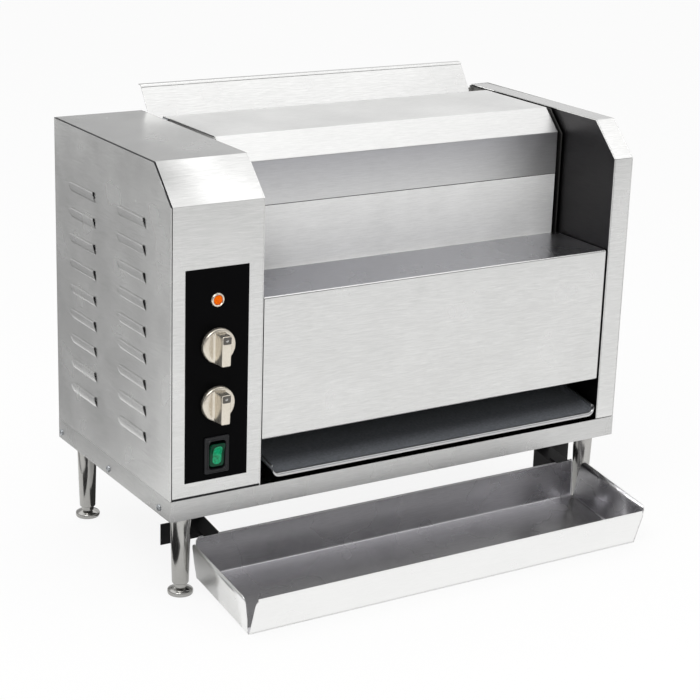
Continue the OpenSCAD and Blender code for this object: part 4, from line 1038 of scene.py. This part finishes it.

# Two hooks on the back wall's edge, which hang on the tray brackets
bm = bmesh.new()
hookY = tray["depth"] + tray["wall"] * math.sin(math.radians(tray["flare"])) - body["sheet"]
hookZ = tray["wall"] * math.cos(math.radians(tray["flare"]))
for x in (tray["hookStart"], body["width"] - tray["hookStart"] - tray["hookWidth"]):
    box(bm, (x - trayLeft, hookY, hookZ - body["sheet"]),
        (x - trayLeft + tray["hookWidth"], hookY + tray["hook"], hookZ), trayPoint)
trayHooks = makePiece("trayHooks", bm, blackPaint, "tray", [])
softenEdges(trayHooks, 0.3, 40)
print("tray folded")

# Legs: tapered chromed tubes with a washer on top and a bore for the foot's stem
leg = {"inset": 26, "top": 12.2, "taperTop": -7, "foot": 9.8, "low": 88, "washer": 13.5, "washerThick": 3,
       "washerEdge": 0.4, "bore": 6.05, "boreDepth": 36, "stud": 5, "studLength": 13, "discRadius": 15,
       "discHeight": 9, "stem": 6, "stemLength": 34, "neck": 7.6}
legXs = (leg["inset"], body["width"] - leg["inset"])
legYs = (leg["inset"], body["depth"] - leg["inset"])
legLow = -leg["low"]
legTop, legFoot = leg["top"], leg["foot"]
legBore = [(0, legLow + leg["boreDepth"]), (leg["bore"], legLow + leg["boreDepth"]), (leg["bore"], legLow)]
legTube = [(legFoot - 0.9, legLow), (legFoot - 0.3, legLow + 0.25), (legFoot, legLow + 0.9),
           (legTop, leg["taperTop"]), (legTop - 0.2, -6), (legTop - 0.9, -5), (legTop - 0.9, -3.2)]
washer, washerLow, washerEdge = leg["washer"], -leg["washerThick"], leg["washerEdge"]
legWasher = [(washer - washerEdge, washerLow), (washer, washerLow + washerEdge), (washer, -washerEdge),
             (washer - washerEdge, 0)]
legStud = [(leg["stud"], 0), (leg["stud"], leg["studLength"]), (0, leg["studLength"])]
bm = bmesh.new()
for x in legXs:
    for y in legYs:
        turnedShape(bm, legBore + legTube + legWasher + legStud, (x, y, 0), "z", 48)
makePiece("legTubes", bm, chrome, "body", ["legs"], 40)

# Feet: a rounded disc with a neck, on a stem that goes up into the leg
ground = -body["legHeight"]
disc, discTop, stemTop = leg["discRadius"], ground + leg["discHeight"], legLow + leg["stemLength"]
footDisc = [(0, ground), (disc - 2, ground), (disc - 0.6, ground + 0.6), (disc, ground + 2),
            (disc, discTop - 4.4), (disc - 0.3, discTop - 3.6), (disc - 1, discTop - 3),
            (disc - 4, discTop - 1.6)]
footStem = [(leg["neck"] + 1, discTop - 0.6), (leg["neck"], discTop), (leg["neck"], legLow - 0.5),
            (leg["stem"], legLow - 0.4), (leg["stem"], stemTop), (0, stemTop)]
for name, node, bodyName, x, y in (
        ("footFrontLeft", "foot_front_left", "foot_fl", legXs[0], legYs[0]),
        ("footFrontRight", "foot_front_right", "foot_fr", legXs[1], legYs[0]),
        ("footRearLeft", "foot_rear_left", "foot_rl", legXs[0], legYs[1]),
        ("footRearRight", "foot_rear_right", "foot_rr", legXs[1], legYs[1])):
    bm = bmesh.new()
    turnedShape(bm, footDisc + footStem, (x, y, 0), "z", 48)
    makePiece(name, bm, chrome, bodyName, [node], 40)
print("legs made")

# Pan-head screws with a cross recess: base rails, rear panel and tray brackets
screw = {"head": 4, "headHeight": 2.2, "rim": 3, "rimHeight": 1.85, "sides": 24, "shank": 2, "length": 7,
         "cross": 2.4, "crossWidth": 0.8, "recess": 1.3, "recessTaper": 0.8,
         "railHeight": 8.4, "railYs": (29, 164.5, 303), "rearInset": 30, "rearCount": 4,
         "bracketMiddle": 62.5, "bracketDepth": 1.5}


# Height of the domed head over a point of it
def domeHeight(x, y):
    bulge = screw["headHeight"] - screw["rimHeight"]
    return screw["rimHeight"] + bulge * max(0, 1 - (x * x + y * y) / screw["rim"] ** 2)


def screwMesh():
    bm = bmesh.new()
    r, sides = screw["head"], screw["sides"]
    profile = [(screw["shank"], -screw["length"]), (screw["shank"], 0), (r, 0), (r, 0.7), (r - 0.35, 1.35),
               (screw["rim"], screw["rimHeight"])]
    angles = [2 * math.pi * i / sides for i in range(sides)]
    rings = [[bm.verts.new(Vector((radius * math.cos(a), radius * math.sin(a), z)) * mm) for a in angles]
             for radius, z in profile]
    bridgeRows(bm, rings)
    bm.faces.new(rings[0])
    arm, w = screw["cross"], screw["crossWidth"] / 2
    plus = [(arm, -w), (arm, w), (w, w)]
    for k in range(9):  # the other three arms, each a quarter turn on
        plus.append((-plus[k][1], plus[k][0]))
    flat = [Vector((v.co.x, v.co.y)) / mm for v in rings[-1]] + [Vector(q) for q in plus]
    loops = [list(range(sides)), list(range(sides, len(flat)))]
    spots, filled = fillWithHoles(flat, loops)
    lid = [bm.verts.new(Vector((x, y, domeHeight(x, y))) * mm) for x, y in spots]
    for face in filled:
        bm.faces.new([lid[i] for i in face])
    taper, deep = screw["recessTaper"], screw["headHeight"] - screw["recess"]
    upper = [bm.verts.new(Vector((x, y, domeHeight(x, y))) * mm) for x, y in plus]
    lower = [bm.verts.new(Vector((x * taper, y * taper, deep)) * mm) for x, y in plus]
    bridge(bm, upper, lower)
    bm.faces.new(lower)
    return closeMesh("screw", bm)


screwTree, given, screwNamed = startTree("screw set", {
    "Geometry": "NodeSocketGeometry", "Source": "NodeSocketObject", "Finish": "NodeSocketMaterial"})
facing = addNode(screwTree, "GeometryNodeInputNamedAttribute", {"Name": "facing"}, data_type="FLOAT_VECTOR")
aligned = addNode(screwTree, "FunctionNodeAlignRotationToVector", {"Vector": facing.outputs[0]}, axis="Z")
endTree(screwTree, given, given.outputs["Geometry"], aligned.outputs[0])


def screwSet(name, spots, node):
    points = bpy.data.meshes.new(name)
    points.from_pydata([at(*place) for place, facing in spots], [], [])
    ways = points.attributes.new("facing", "FLOAT_VECTOR", "POINT")
    ways.data.foreach_set("vector", [c for place, facing in spots for c in facing])
    mesh = runTree(name, points, screwMesh(), screwTree, screwNamed, {"Finish": zincPlate})
    makePiece(name, mesh, zincPlate, "body", [node], 40)


railZ = screw["railHeight"]
screwSet("railScrews", [((x, y, railZ), (side, 0, 0)) for x, side in ((0, -1), (body["width"], 1))
                        for y in screw["railYs"]], "side_screws")
rearStep = (body["width"] - 2 * screw["rearInset"]) / (screw["rearCount"] - 1)
screwSet("rearScrews", [((screw["rearInset"] + i * rearStep, body["depth"], railZ), (0, 1, 0))
                        for i in range(screw["rearCount"])], "rear_screws")
bracketLow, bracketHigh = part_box("bracket_screws")
bracketXs = (screw["bracketMiddle"], body["width"] - screw["bracketMiddle"])
bracketYs = ((bracketLow.y - corner.y) / mm + screw["head"], (bracketHigh.y - corner.y) / mm - screw["head"])
screwSet("bracketScrews", [((x, y, -screw["bracketDepth"]), (0, 0, -1))
                           for x in bracketXs for y in bracketYs], "bracket_screws")
print("screws set")

# CAD nodes that keep their own shape, by finish
dressing = {"merge": 0.005, "flattenAngle": 1, "edge": 0.45, "edgeAngle": 28}
finishes = {
    shadedBaseSteel: ["base_pan"],
    stainless: ["control_housing", "control_inner_wall", "rear_panel"],
    darkSteel: ["right_inner_wall"],
    shadeFramePlate: ["left_frame_plate", "right_frame_plate"],
    zincPlate: ["hood_rail", "chute_rails", "platen_mounts", "heat_shield", "drive_shaft", "idler_shaft",
                "belt_backing_plate", "motor_bracket", "leg_nuts"],
    castMetal: ["drive_wheels", "idler_wheels", "heaters"],
    coatedSheet: ["platen"],
    blackPaint: ["tray_bracket_left", "tray_bracket_right"],
    blackPanel: ["control_panel"],
    blackPlastic: ["fan_frame", "fan_rotor", "cord_gland", "contactor"],
    cream: ["terminal_block", "thermostat"],
    rubber: ["conveyor_belt"],
    blanket: ["insulation"],
    motorPaint: ["gear_motor"],
    boardGreen: ["drive_board"],
    bluePlastic: ["speed_control"],
    bronze: ["shaft_bushes"],
    steelDark: ["motor_sprocket", "shaft_sprocket", "drive_chain"],
}
for material, names in finishes.items():
    for name in names:
        piece = nodes[name]
        piece.data.materials.clear()
        piece.data.materials.append(material)
        weld = piece.modifiers.new("weld", "WELD")
        weld.merge_threshold = dressing["merge"] * mm
        flatten = piece.modifiers.new("flatten", "DECIMATE")
        flatten.decimate_type = "DISSOLVE"
        flatten.angle_limit = math.radians(dressing["flattenAngle"])
        bevelEdges(piece, dressing["edge"], dressing["edgeAngle"])
print("frame dressed")
